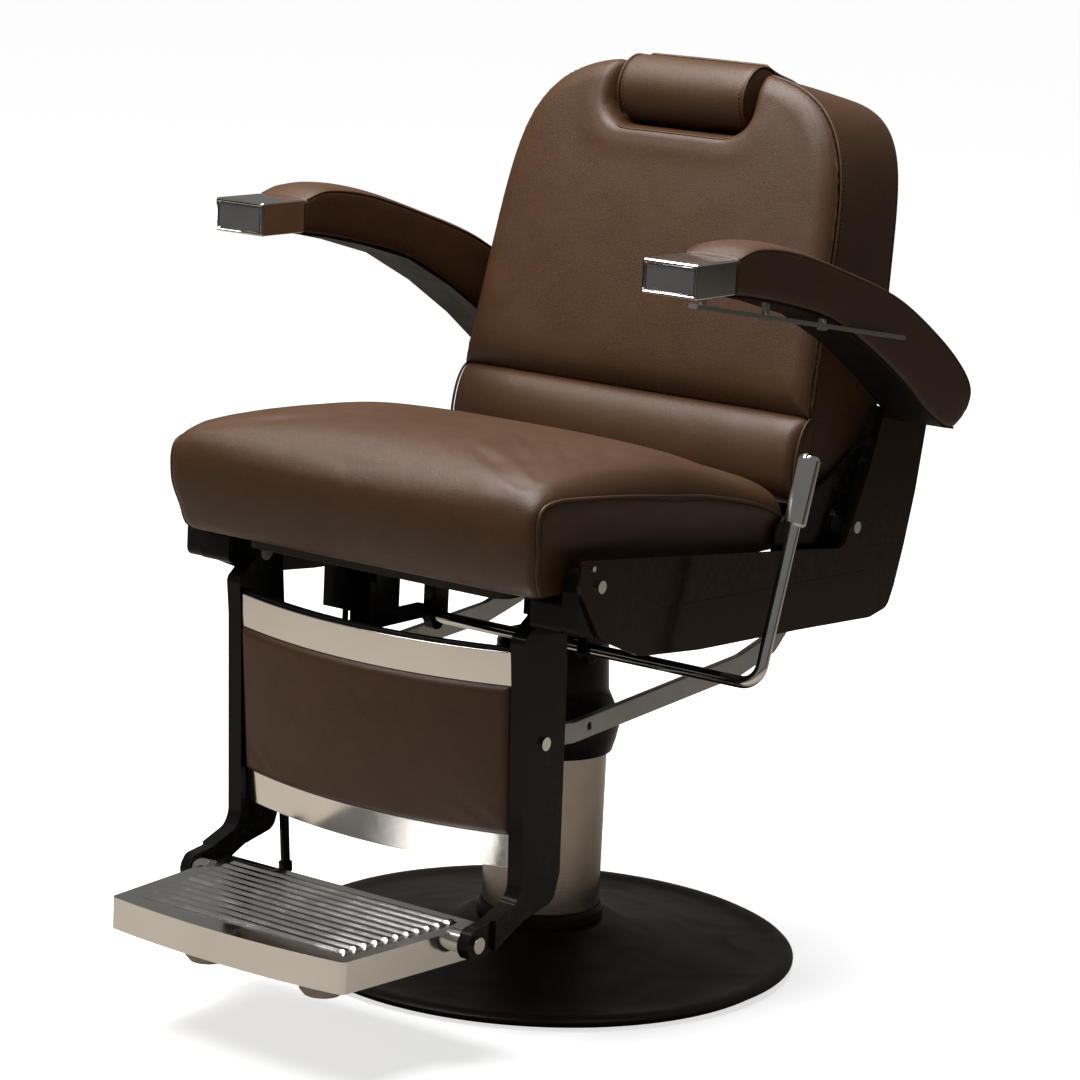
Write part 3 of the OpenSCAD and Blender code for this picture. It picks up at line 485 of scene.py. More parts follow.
def at_x(x, line):
    """A line of (y, z) points as points at x."""
    return np.stack([np.broadcast_to(x, (len(line),)), line[:, 0], line[:, 1]], -1)


def fan(first, count, centre):
    """Triangles from a ring of points to its centre."""
    return [[first + i, first + (i + 1) % count, centre] for i in range(count)]


def bridge(a, b, count):
    """Quads between two rings of points."""
    return [[a + c, a + (c + 1) % count, b + (c + 1) % count, b + c] for c in range(count)]


def folded_end(first, ring, count):
    """Quads across a flat ring of points, between its upper and its lower half."""
    return [[first + i, first + i + 1, first + ring - 2 - i, first + ring - 1 - i] for i in range(count)]


def on_back(points):
    """Points [x, y', z'] of the back's frame to the chair's frame."""
    p = np.asarray(points, float)
    c, s = math.cos(BACK_LEAN), math.sin(BACK_LEAN)
    return np.stack([p[..., 0] + BACK_ORIGIN[0], BACK_ORIGIN[1] + p[..., 1] * c + p[..., 2] * s,
                     BACK_ORIGIN[2] - p[..., 1] * s + p[..., 2] * c], -1)


def on_calf(points):
    p = np.asarray(points, float)
    c, s = math.cos(CALF_LEAN), math.sin(CALF_LEAN)
    return np.stack([p[..., 0] + CALF_ORIGIN[0], CALF_ORIGIN[1] + p[..., 1] * c - p[..., 2] * s,
                     CALF_ORIGIN[2] + p[..., 1] * s + p[..., 2] * c], -1)


def grid_faces(rows, columns, wrap=False, start=0):
    """Quads of a grid of points, rows by columns; wrap joins the last column to the first."""
    r = np.arange(rows - 1)[:, None]
    c = np.arange(columns if wrap else columns - 1)[None, :]
    a = start + r * columns + c
    b = start + r * columns + (c + 1) % columns
    return np.stack([a, b, b + columns, a + columns], -1).reshape(-1, 4).tolist()


def make_piece(name, points, faces, finish, body, replaces=()):
    """A mesh object in the chair's frame that rides on a body."""
    mesh = bpy.data.meshes.new(name)
    mesh.from_pydata((np.asarray(points, float).reshape(-1, 3) * MM).tolist(), [], faces)
    mesh.update()
    fix = bmesh.new()
    fix.from_mesh(mesh)
    bmesh.ops.remove_doubles(fix, verts=fix.verts, dist=2e-6)
    bmesh.ops.recalc_face_normals(fix, faces=fix.faces)
    fix.to_mesh(mesh)
    fix.free()
    mesh.polygons.foreach_set("use_smooth", [True] * len(mesh.polygons))
    obj = bpy.data.objects.new(name, mesh)
    bpy.context.scene.collection.objects.link(obj)
    mesh.materials.append(bpy.data.materials[finish])
    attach(obj, body)
    if replaces:
        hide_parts(*replaces)
    return obj


def spline(keys, count):
    """Points on a smooth curve through keys, evenly spaced along it."""
    k = np.asarray(keys, float)
    k = np.concatenate([k[:1], k, k[-1:]])
    fine = [catmull(*k[i:i + 4], t) for i in range(len(k) - 3) for t in np.linspace(0, 1, 24, endpoint=False)]
    return evenly(np.array(fine + [k[-1]]), count)


def evenly(path, count, closed=False):
    """The path's points respaced evenly along its length."""
    run = lengths(path)
    where = np.linspace(0, run[-1], count, endpoint=not closed)
    return np.stack([np.interp(where, run, path[:, a]) for a in range(path.shape[1])], -1)


def tube_points(path, radius, sides, closed):
    """Rings of points round a path, with frames carried along it."""
    p = np.asarray(path, float)
    ahead = round_trip(p) if closed else unit(np.gradient(p, axis=0))
    side = np.cross(ahead[0], [0.3, 0.5, 0.81])
    rings = []
    for i in range(len(p)):
        side = side - ahead[i] * (side @ ahead[i])
        side /= np.linalg.norm(side)
        other = np.cross(ahead[i], side)
        turn = np.linspace(0, 2 * math.pi, sides, endpoint=False)[:, None]
        rings.append(p[i] + radius * (np.cos(turn) * side + np.sin(turn) * other))
    return np.array(rings)


def add_tube(points, faces, path, radius, sides=8, closed=False):
    """Adds a tube to lists of points and faces, with its ends closed."""
    rings = tube_points(path, radius, sides, closed)
    count = len(rings)
    start = len(points)
    points.extend(rings.reshape(-1, 3).tolist())
    faces.extend(grid_faces(count, sides, True, start))
    if closed:
        faces.extend(bridge(start + (count - 1) * sides, start, sides))
    else:
        faces.append([start + c for c in range(sides)])
        faces.append([start + (count - 1) * sides + c for c in range(sides)])


def make_welt(name, paths, body, radius=None, closed=False):
    """One piece of welt cord, along one or more paths."""
    r = radius or bpy.context.scene.chair_sizes.welt_radius / MM
    points, faces = [], []
    for path in paths:
        add_tube(points, faces, path, r, 8, closed)
    return make_piece(name, points, faces, "Vinyl welt", body)


THREAD_RADIUS = 0.42
STITCH_SPACING = 1.45


def make_stitches(name, paths, body):
    """Rows of short thread stitches along paths."""
    length = bpy.context.scene.chair_sizes.stitch_length / MM
    step = length * STITCH_SPACING
    points, faces = [], []
    for path in paths:
        p = np.asarray(path, float)
        run = lengths(p)
        for s in np.arange(step, run[-1] - step, step):
            ends = [np.array([np.interp(t, run, p[:, a]) for a in range(3)])
                    for t in (s, s + length / 2, s + length)]
            add_tube(points, faces, ends, THREAD_RADIUS, 5)
    return make_piece(name, points, faces, "Thread", body)


CLOTH = {
    "quality": 4, "mass": 0.3, "tension_stiffness": 22, "compression_stiffness": 22, "shear_stiffness": 8,
    "bending_stiffness": 0.8, "use_pressure": True, "uniform_pressure_force": 4.0,
}
CLOTH_VOXEL = 0.005


def inflate(obj, cap, keep):
    """Swells a cushion with cloth pressure, holding the points that keep() names, and caps the travel."""
    scene = bpy.context.scene
    rest = obj.matrix_world.copy()
    parent = obj.parent
    obj.parent = None
    obj.matrix_world = rest
    bpy.context.view_layer.objects.active = obj
    remesh = obj.modifiers.new("Remesh", "REMESH")
    remesh.mode = "VOXEL"
    remesh.voxel_size = CLOTH_VOXEL
    remesh.use_smooth_shade = True
    bpy.ops.object.select_all(action="DESELECT")
    obj.select_set(True)
    bpy.ops.object.modifier_apply(modifier="Remesh")
    count = len(obj.data.vertices)
    before = np.empty(count * 3, np.float32)
    obj.data.vertices.foreach_get("co", before)
    before = before.reshape(-1, 3)
    held = obj.vertex_groups.new(name="held")
    weight = keep(before / MM)
    for i in np.nonzero(weight > 0.01)[0]:
        held.add([int(i)], float(weight[i]), "REPLACE")
    cloth = obj.modifiers.new("Cloth", "CLOTH")
    settings = cloth.settings
    for key, value in CLOTH.items():
        setattr(settings, key, value)
    settings.effector_weights.gravity = 0.0
    settings.vertex_group_mass = "held"
    cloth.collision_settings.use_collision = False
    frames = scene.chair_sizes.cloth_frames
    cloth.point_cache.frame_start = 1
    cloth.point_cache.frame_end = frames
    for number in range(1, frames + 1):
        scene.frame_set(number)
    dg = bpy.context.evaluated_depsgraph_get()
    after = np.empty(count * 3, np.float32)
    obj.evaluated_get(dg).data.vertices.foreach_get("co", after)
    after = after.reshape(-1, 3)
    obj.modifiers.remove(cloth)
    move = after - before
    far = np.linalg.norm(move, axis=1, keepdims=True)
    move *= np.minimum(1.0, cap / np.maximum(far, 1e-9))
    obj.data.vertices.foreach_set("co", (before + move).reshape(-1))
    obj.data.update()
    obj.vertex_groups.clear()
    soften = obj.modifiers.new("Soften", "SMOOTH")
    soften.factor = 0.5
    soften.iterations = 8
    bpy.ops.object.modifier_apply(modifier="Soften")
    scene.frame_set(1)
    obj.parent = parent
    obj.matrix_parent_inverse = Matrix.Identity(4)
    obj.matrix_world = rest


# ---- the back's outline ----

def back_half_w(z):
    return BACK_HALF_W + (BACK_TOP_HALF_W - BACK_HALF_W) * np.maximum(0, z) / BACK_TOP


def back_outline(count, corner=BACK_CORNER):
    """Closed outline (x, z') of the back: straight sides, a rounded top and small corners below."""
    low, mid, half = BACK_BOTTOM, (BACK_TOP + BACK_BOTTOM) / 2, (BACK_TOP - BACK_BOTTOM) / 2
    t = np.linspace(0, math.pi, 600)
    power = 2 / corner
    cx = np.sign(np.cos(t)) * np.abs(np.cos(t)) ** power
    z = mid + half * np.abs(np.sin(t)) ** power
    x = back_half_w(z) * cx
    side = np.linspace(mid, low + 10, 40)
    right = np.stack([back_half_w(side[::-1]), side[::-1]], -1)
    left = np.stack([-back_half_w(side), side], -1)
    w = float(back_half_w(low))
    foot = np.array([[-w, low + 10], [-w + 3, low + 3], [-w + 10, low],
                         [w - 10, low], [w - 3, low + 3], [w, low + 10]])
    path = np.concatenate([right, np.stack([x, z], -1), left, foot])
    return evenly(np.concatenate([path, path[:1]]), count, True)


def back_depth(z):
    """y' of the back's rear face."""
    return BACK_DEPTH + (BACK_TOP_DEPTH - BACK_DEPTH) * z / BACK_TOP


def recess_distance(x, z):
    """Distance outside the headrest's recess, negative inside it."""
    corner = 26.0
    dx = np.abs(x) - (RECESS_HALF_W - corner)
    dz = (RECESS_LOW + corner) - z
    outside = np.hypot(np.maximum(dx, 0), np.maximum(dz, 0))
    return outside + np.minimum(np.maximum(dx, dz), 0) - corner


def front_seam_y(x, z):
    """y' of the back's front seam: on the front plane, but back in the recess and at the lumbar seat."""
    s = recess_distance(x, z)
    y = np.where(s < 0, RECESS_FLOOR, RECESS_FLOOR * np.clip(1 - s / 14, 0, 1) ** 2)
    return np.where(z < 3, np.maximum(y, 14.0), y)


class CHAIR_OT_back_cover(bpy.types.Operator):
    """Makes the back's boxing and rear panel, with their welts and stitches"""
    bl_idname = "chair.back_cover"
    bl_label = "Back cover"

    def execute(self, context):
        count = 220
        line = back_outline(count)
        square = back_outline(count, corner=BACK_REAR_CORNER)
        front = front_seam_y(line[:, 0], line[:, 1])
        depth = back_depth(square[:, 1])
        rings = []

        def ring(at, y):
            rings.append(np.stack([at[:, 0], np.broadcast_to(y, (count,)), at[:, 1]], -1))

        for scale, y in ((0.0, 44.0), (0.5, 44.0), (0.93, 44.0), (0.975, np.maximum(front + 2, 3.0)),
                         (0.992, front + 0.5), (1.0, front + 2.5)):
            ring(BACK_CENTRE + (line - BACK_CENTRE) * scale, y)
        for share in (0.03, 0.08, 0.2, 0.35, 0.5, 0.65, 0.8, 0.9):
            at = line + (square - line) * share
            swell = 1 + 0.006 * math.sin(math.pi * share)
            ring(BACK_CENTRE + (at - BACK_CENTRE) * swell, front + (depth - front) * share)
        for turn in (15, 35, 55, 75, 90):
            a = math.radians(turn)
            ring(BACK_CENTRE + (square - BACK_CENTRE) * (1 - 0.034 * (1 - math.cos(a))),
                 depth - 8 * (1 - math.sin(a)))
        for scale, bulge in ((0.9, 1.5), (0.8, 3.0), (0.6, 4.6), (0.4, 5.6), (0.2, 6.0), (0.0, 6.2)):
            at = BACK_CENTRE + (square - BACK_CENTRE) * scale
            ring(at, back_depth(at[:, 1]) + bulge - 3.0)
        points = on_back(np.array(rings))
        cover = make_piece("back_cover", points, grid_faces(len(rings), count, True), "Vinyl", "back",
                           ["back_shell"])
        self.welts(line, square, depth)
        return {"FINISHED"}

    def welts(self, line, square, depth):
        front = front_seam_y(line[:, 0], line[:, 1])
        keep = line[:, 1] > 6
        order = np.argsort(np.arctan2(line[keep][:, 1] - 5.9, line[keep][:, 0]))
        run = line[keep][order]
        seam = on_back(np.stack([run[:, 0] * 1.002, front[keep][order] + 0.5, run[:, 1] + 0.4], -1))
        make_welt("back_front_welt", [seam], "back")
        row = back_outline(400)
        row = row[row[:, 1] > 8]
        row = row[np.argsort(np.arctan2(row[:, 1] - 7.9, row[:, 0]))]
        row_y = front_seam_y(row[:, 0], row[:, 1]) + 6.5
        outside = recess_distance(row[:, 0], row[:, 1]) > 15
        out = 1.0035
        stitched = on_back(np.stack([row[:, 0] * out, row_y, 150 + (row[:, 1] - 150) * out], -1))
        halves = [stitched[outside & (row[:, 0] > 0)], stitched[outside & (row[:, 0] < 0)]]
        make_stitches("back_boxing_stitches", halves, "back")
        rear = BACK_CENTRE + (square - BACK_CENTRE) * 0.992
        hem = on_back(np.stack([rear[:, 0], depth - 2.6, rear[:, 1]], -1))
        make_welt("back_rear_welt", [hem], "back", closed=True)


class CHAIR_OT_back_cushion(bpy.types.Operator):
    """Makes the back's padded front with the recess for the headrest roll"""
    bl_idname = "chair.back_cushion"
    bl_label = "Back cushion"

    def execute(self, context):
        low, across, up = 4.5, 150, 130
        mid, half = (BACK_TOP + BACK_BOTTOM) / 2, (BACK_TOP - BACK_BOTTOM) / 2
        u = eased(across)
        v = np.sin(np.linspace(0, math.pi / 2, up)) * 0.35 + np.linspace(0, 1, up) * 0.65
        top = mid + half * np.clip(1 - np.abs(u) ** BACK_CORNER, 0, 1) ** (1 / BACK_CORNER)
        z = low + (top[None, :] - low) * v[:, None]
        x = u[None, :] * back_half_w(z)
        edge = back_outline(700)
        edge = edge[edge[:, 1] > low]
        floor_line = np.stack([np.linspace(-BACK_HALF_W, BACK_HALF_W, 160), np.full(160, low)], -1)
        edge = np.concatenate([edge, floor_line])
        flat = np.stack([x.ravel(), z.ravel()], -1)
        d = np.concatenate([np.linalg.norm(part[:, None] - edge[None], axis=2).min(1)
                            for part in np.array_split(flat, 40)]).reshape(x.shape)
        shoulder = 17 * np.sqrt(np.clip(1 - (1 - np.minimum(d, 26) / 26) ** 2, 0, 1))
        tuck = np.clip((z - low) / 46, 0, 1)
        shoulder = shoulder * (0.25 + 0.75 * np.sqrt(1 - (1 - tuck) ** 2))
        crown = 10 * (1 - np.abs(x / 246) ** 2.6) * (1 - np.abs(np.clip((z - 185) / 205, -1, 1)) ** 3)
        y = -(shoulder + crown)
        s = recess_distance(x, z)
        wall = 1 - np.sqrt(np.clip(1 - (1 - np.clip(s, 0, 17) / 17) ** 2, 0, 1))
        y = np.where(s <= 0, RECESS_FLOOR, y + (RECESS_FLOOR - y) * wall)
        plump = 1.2 * np.exp(-((s - 30) / 16) ** 2) * np.clip((z - 230) / 60, 0, 1) * np.clip(d / 20, 0, 1)
        y = y - plump
        front = np.stack([x, y, z], -1)
        rim = np.concatenate([front[0], front[1:-1, -1], front[-1][::-1], front[1:-1, 0][::-1]])
        back_y = np.maximum(rim[:, 1] + 3, np.where(rim[:, 1] > 20, RECESS_FLOOR + 4, 3.0))
        behind = np.stack([rim[:, 0] * 0.985, back_y, 150 + (rim[:, 2] - 150) * 0.985], -1)
        deep = np.stack([rim[:, 0] * 0.9, np.full(len(rim), 42.0), 150 + (rim[:, 2] - 150) * 0.9], -1)
        points = np.concatenate([front.reshape(-1, 3), rim, behind, deep, [[0, 42.0, 150]]])
        faces = grid_faces(up, across)
        first = up * across
        n = len(rim)
        faces += grid_faces(3, n, True, first)
        faces += fan(first + 2 * n, n, first + 3 * n)
        pad = make_piece("back_front_pad", on_back(points), faces, "Vinyl", "back",
                         ["back_cushion"])
        self.recess_seam(front, s)
        return {"FINISHED"}

    def recess_seam(self, front, s):
        """A stitched seam line under the roll, on the recess's rounded edge."""
        xs = np.linspace(-82, 82, 60)
        line = []
        for x in xs:
            near = np.abs(front[..., 0] - x) + 3 * np.abs(s - 11) + 1000 * (front[..., 2] > RECESS_LOW + 6)
            at = np.unravel_index(np.argmin(near), near.shape)
            line.append([x, front[at][1] - 0.3, front[at][2]])
        line = np.array(line)
        for column in (1, 2):
            line[:, column] = np.convolve(np.pad(line[:, column], 3, mode="edge"), np.ones(7) / 7, "valid")
        make_welt("recess_seam", [on_back(line)], "back", radius=1.0)


class CHAIR_OT_lumbar_roll(bpy.types.Operator):
    """Makes the lumbar roll between seat and back"""
    bl_idname = "chair.lumbar_roll"
    bl_label = "Lumbar roll"

    def execute(self, context):
        low, high, half = -94.0, 8.5, 248.5
        across, round_it = 120, 48
        u = eased(across) * half
        t = np.linspace(0, math.pi, round_it)
        mid, h = (low + high) / 2, (high - low) / 2
        rows = []
        for x in u:
            end = math.sqrt(max(0.0, 1 - max(0.0, (abs(x) - (half - 16)) / 16) ** 2))
            bulge = 40.5 * (1 - 0.22 * abs(x / half) ** 5) * (0.4 + 0.6 * end)
            z = mid + h * (0.93 + 0.07 * end) * np.sign(np.cos(t)) * np.abs(np.cos(t)) ** 0.72
            y = 14 - bulge * np.abs(np.sin(t)) ** 0.85 * (1 - 0.18 * np.clip((mid - z) / h, 0, 1))
            rows.append(np.stack([np.full_like(z, x), y, z], -1))
        rows = np.array(rows)
        back = rows.copy()
        back[..., 1] = 14.2
        loop = np.concatenate([rows, back[:, ::-1][:, 1:-1]], 1)
        n = loop.shape[1]
        points = np.concatenate([loop.reshape(-1, 3), [loop[0].mean(0), loop[-1].mean(0)]])
        faces = grid_faces(across, n, True)
        base = across * n
        faces += fan(0, n, base) + fan(base - n, n, base + 1)
        roll = make_piece("lumbar_pad", on_back(points), faces, "Vinyl", "back",
                          ["lumbar_roll"])
        ends = []
        for side in (-1, 1):
            column = rows[8 if side < 0 else -9]
            ends.append(on_back(np.stack([np.full(round_it, side * (half - 1.5)),
                                           column[:, 1] + 1.5, column[:, 2]], -1)))
        make_welt("lumbar_welts", ends, "back", radius=1.7)
        return {"FINISHED"}


class CHAIR_OT_headrest(bpy.types.Operator):
    """Makes the headrest roll and the flap that goes over the top of the back"""
    bl_idname = "chair.headrest"
    bl_label = "Headrest"

    def execute(self, context):
        around, along = 72, 60
        t = np.linspace(0, 2 * math.pi, around, endpoint=False)
        rings = []
        for x in eased(along) * ROLL_HALF:
            end = max(0.0, (abs(x) - (ROLL_HALF - 9)) / 9)
            r = (ROLL_R - 1.2 * (x / ROLL_HALF) ** 2) * (1 - 0.16 * (1 - math.sqrt(max(0.0, 1 - end ** 2))))
            y = ROLL_AT[0] - r * np.cos(t) * (1 + 0.03 * np.sin(t))
            z = ROLL_AT[1] + r * np.sin(t) - 0.8 * np.cos(x / ROLL_HALF * 2.2)
            rings.append(np.stack([np.full(around, x), np.minimum(y, PLATE_Y - 0.2), z], -1))
        rings = np.array(rings)
        caps = []
        for side, ring in ((-1, rings[0]), (1, rings[-1])):
            middle = ring.mean(0)
            for scale, out in ((0.8, 1.2), (0.5, 2.6), (0.2, 3.2), (0.0, 3.4)):
                cap = middle + (ring - middle) * scale
                cap[:, 0] = side * (ROLL_HALF + out)
                caps.append(cap)
        points = np.concatenate([rings, np.array(caps)])
        faces = grid_faces(along, around, True)
        for end, first in ((0, along), (along - 1, along + 4)):
            chain = [end, first, first + 1, first + 2, first + 3]
            for a, b in zip(chain, chain[1:]):
                faces += bridge(a * around, b * around, around)
        roll = make_piece("headrest_roll", on_back(points), faces, "Vinyl", "headrest",
                          ["headrest_pad"])
        welts, rows = [], []
        arc = np.linspace(math.radians(-58), math.radians(238), 90)
        for side in (-1, 1):
            for at, store, grow in ((ROLL_HALF - 1.5, welts, -0.6), (ROLL_HALF - 7.5, rows, 0.15)):
                r = ROLL_R - 1.2 * (at / ROLL_HALF) ** 2 + grow
                y = ROLL_AT[0] - r * np.cos(arc)
                ring = np.stack([np.full(90, side * at), y, ROLL_AT[1] + r * np.sin(arc)], -1)
                store.append(on_back(ring[ring[:, 1] < PLATE_Y - 1]))
        make_welt("headrest_welts", welts, "headrest", radius=1.5)
        make_stitches("headrest_stitches", rows, "headrest")
        self.flap()
        return {"FINISHED"}

    def flap(self):
        keys = [(25, 401.5), (38, 398.6), (56, 396.2), (76, 395.4), (93, 394.4),
                (106, 389.5), (115, 379), (119, 364),
                (121.5, 342)]
        path = spline(keys, 40)
        ahead = unit(np.gradient(path, axis=0))
        out = np.stack([-ahead[:, 1], ahead[:, 0]], -1)
        half, thick, across = 85.0, 3.4, 40
        rows = []
        for x in np.linspace(-1, 1, across) * half:
            edge = max(0.0, (abs(x) - (half - 2.2)) / 2.2)
            swell = thick * math.sqrt(max(0.02, 1 - edge ** 2))
            sag = 0.6 * math.cos(x / half * 3.0)
            upper = path + out * (swell + sag * 0.3)
            lower = (path + out * 0.3)[::-1]
            rows.append(at_x(x, np.concatenate([upper, lower])))
        rows = np.array(rows)
        n = rows.shape[1]
        faces = grid_faces(across, n, True)
        for end in (0, across - 1):
            faces += folded_end(end * n, n, n // 2 - 1)
        flap = make_piece("headrest_flap_cover", on_back(rows), faces, "Vinyl", "headrest", ["headrest_flap"])
        top = path + out * (thick + 0.15)
        hem = [on_back(at_x(side * (half - 5.5), top)) for side in (-1, 1)]
        make_stitches("flap_stitches", hem, "headrest")


class CHAIR_OT_seat_cushion(bpy.types.Operator):
    """Makes the seat cushion: a wrapped top and front, side panels and welts"""
    bl_idname = "chair.seat_cushion"
    bl_label = "Seat cushion"

    side_line = ((60, 506), (-140, 511), (-338, 513.4), (-367, 518), (-380, 545), (-387, 574), (-388, 602),
                 (-379, 617), (-352, 621), (-321, 619.5), (-248, 614), (-124, 603), (-47, 589), (34, 569),
                 (80, 552), (94, 538), (92, 520), (82, 508))
    middle_line = ((60, 513.4), (-140, 513.4), (-338, 513.4), (-369, 518), (-384, 545), (-391, 576), (-391, 600),
                   (-384, 625), (-364, 643), (-326, 650), (-250, 651.5), (-124, 641), (-47, 624), (34, 599),
                   (77, 588), (95.5, 576), (96, 545), (84, 515))
    half_w = 255.0

    def execute(self, context):
        count, across, corner = 220, 90, 11.0
        fine = 24 * len(self.side_line)
        side, middle = (self.smooth(line, fine) for line in (self.side_line, self.middle_line))
        run = lengths(side)
        where = np.linspace(0, run[-1], count, endpoint=False)
        side, middle = (np.stack([np.interp(where, run, p[:, a]) for a in (0, 1)], -1) for p in (side, middle))
        self.side = side
        stations = eased(across) * (self.half_w - 0.2)
        ahead = round_trip(side)
        inward = np.stack([ahead[:, 1], -ahead[:, 0]], -1)
        rings = []
        for x in stations:
            share = abs(x) / self.half_w
            blend = (1 - share ** 10) ** 0.95
            turn = max(0.0, (abs(x) - (self.half_w - corner)) / corner)
            pull = corner * 0.75 * (1 - math.sqrt(max(0.0, 1 - turn ** 2)))
            at = side + (middle - side) * blend + inward * pull
            rings.append(at_x(x, at))
        rings = np.array(rings)
        rings[..., 2] = np.maximum(rings[..., 2], np.where(np.abs(rings[..., 0]) > 205, 505.5, 513.2))
        rings[..., 0] *= self.width_at(rings[..., 2]) / self.half_w
        edge = rings[-1][:, 1:]
        centre = np.array([-140.0, 562.0])
        caps = []
        for scale, out in ((0.96, 0.4), (0.88, 1.4), (0.7, 2.4), (0.45, 3.0), (0.2, 3.2), (0.0, 3.3)):
            for side_sign in (-1, 1):
                at = centre + (edge - centre) * scale
                wide = np.abs(rings[-1][:, 0]) * scale + np.abs(rings[-1][:, 0]).min() * (1 - scale)
                caps.append(at_x(side_sign * (wide + out * 0.25), at))
        points = np.concatenate([rings, np.array(caps)])
        faces = grid_faces(across, count, True)
        for end, first in ((0, across), (across - 1, across + 1)):
            chain = [end] + [first + 2 * i for i in range(6)]
            for a, b in zip(chain, chain[1:]):
                faces += bridge(a * count, b * count, count)
        cushion = make_piece("seat_cushion_cover", points, faces, "Vinyl", "seat", ["seat_cushion"])
        inflate(cushion, context.scene.chair_sizes.cushion_swell, self.held)
        self.welts()
        return {"FINISHED"}

    def width_at(self, z):
        """The cushion's half width at a height: it draws in between the side castings."""
        low = np.clip((574 - z) / 40, 0, 1)
        return self.half_w * (1 - 0.027 * low * low * (3 - 2 * low))

    def smooth(self, line, fine):
        """A curve through the line's keys, with the same number of points from key to key on every line."""
        k = np.asarray(line, float)
        n = len(k)
        points = [catmull(k[(i - 1) % n], k[i], k[(i + 1) % n], k[(i + 2) % n], t)
                  for i in range(n) for t in np.linspace(0, 1, fine // n, endpoint=False)]
        return np.array(points + [k[0]])

    def held(self, points):
        """The sides, the bottom and the rear stay where they are."""
        x, y, z = points.T
        side = np.clip((np.abs(x) - 228) / 14, 0, 1)
        under = np.clip((526 - z) / 10, 0, 1)
        rear = np.clip((y - 60) / 20, 0, 1)
        return np.maximum.reduce([side, under, rear])

    def welts(self):
        shown = self.side[(self.side[:, 1] > 515)]
        order = np.argsort(-np.arctan2(shown[:, 1] - 514.5, shown[:, 0] + 140))
        shown = shown[order]
        paths, rows = [], []
        for sign in (-1, 1):
            line = shown.copy()
            toward = unit(np.array([-140.0, 540.0]) - line)
            line = line + toward * 6.2
            paths.append(at_x(sign * (self.width_at(line[:, 1]) - 1.2), line))
            low = shown + toward * 12.5
            rows.append(at_x(sign * (self.width_at(low[:, 1]) + 0.25), low))
        make_welt("seat_welts", paths, "seat")
        make_stitches("seat_stitches", rows, "seat")


class CHAIR_OT_arm_pads(bpy.types.Operator):
    """Makes the two padded arms with their top seams"""
    bl_idname = "chair.arm_pads"
    bl_label = "Arm pads"

    def execute(self, context):
        keys = np.array(ARM_STATIONS, float)
        where = lengths(keys[:, :2])
        fine = np.linspace(0, where[-1], 90)
        dense = self.through(keys, where, fine)
        for side, name in ((1, "right"), (-1, "left")):
            self.arm(dense, side, name)
        return {"FINISHED"}

    def through(self, keys, where, fine):
        """Catmull-Rom through the stations at the given lengths."""
        out = []
        for s in fine:
            i = min(int(np.searchsorted(where, s, "right")) - 1, len(keys) - 2)
            t = (s - where[i]) / (where[i + 1] - where[i])
            out.append(catmull(keys[max(i - 1, 0)], keys[i], keys[i + 1], keys[min(i + 2, len(keys) - 1)], t))
        return np.array(out)

    def arm(self, dense, side, name):
        mid_x = ARM_INNER_X + ARM_W / 2
        half = ARM_W / 2
        section = [(-0.9, 0.0), (-0.97, 0.02), (-1.0, 0.07)]
        section += [(-1.0 - 0.012 * math.sin(math.pi * w), w) for w in (0.25, 0.5, 0.7, 0.82)]
        arc = [(-0.995, 0.9), (-0.96, 0.96), (-0.88, 0.995), (-0.7, 1.03),
               (-0.45, 1.065), (-0.2, 1.08), (0.0, 1.085)]
        section += arc + [(-x, w) for x, w in arc[-2::-1]]
        section += [(1.0 + 0.012 * math.sin(math.pi * w), w) for w in (0.82, 0.7, 0.5, 0.25)]
        section += [(1.0, 0.07), (0.97, 0.02), (0.9, 0.0), (0.4, 0.0), (-0.4, 0.0)]
        section = np.array(section)
        n = len(section)
        rings = []
        for i, (ty, tz, by, bz) in enumerate(dense):
            share = i / (len(dense) - 1)
            start = min(1.0, i / 3.0)
            lift = np.where(section[:, 1] > 1, 1 + (section[:, 1] - 1) * (0.35 + 0.65 * start), section[:, 1])
            tail = 1 - 0.10 * max(0.0, (share - 0.93) / 0.07) ** 2
            rings.append(np.stack([side * (mid_x + half * section[:, 0] * tail), by + (ty - by) * lift,
                                   bz + (tz - bz) * lift], -1))
        rings = np.array(rings)
        points = np.concatenate([rings.reshape(-1, 3), [rings[0].mean(0), rings[-1].mean(0) + [0, 1.5, -2.0]]])
        faces = grid_faces(len(rings), n, True)
        base = len(rings) * n
        faces += fan(0, n, base) + fan(base - n, n, base + 1)
        pad = make_piece(f"arm_pad_cover_{name}", points, faces, "Vinyl", "seat",
                         [f"arm_pad_{name}"])
        seams, rows = [], []
        for column in (8, 18):
            seams.append(rings[1:-1, column])
            step = rings[1:-1, column - 2] if column == 8 else rings[1:-1, column + 2]
            rows.append(rings[1:-1, column] * 0.45 + step * 0.55
                        + np.array([side * (0.25 if column == 18 else -0.25), 0, 0]))
        make_welt(f"arm_welts_{name}", seams, "seat", radius=1.35)
        make_stitches(f"arm_stitches_{name}", rows, "seat")


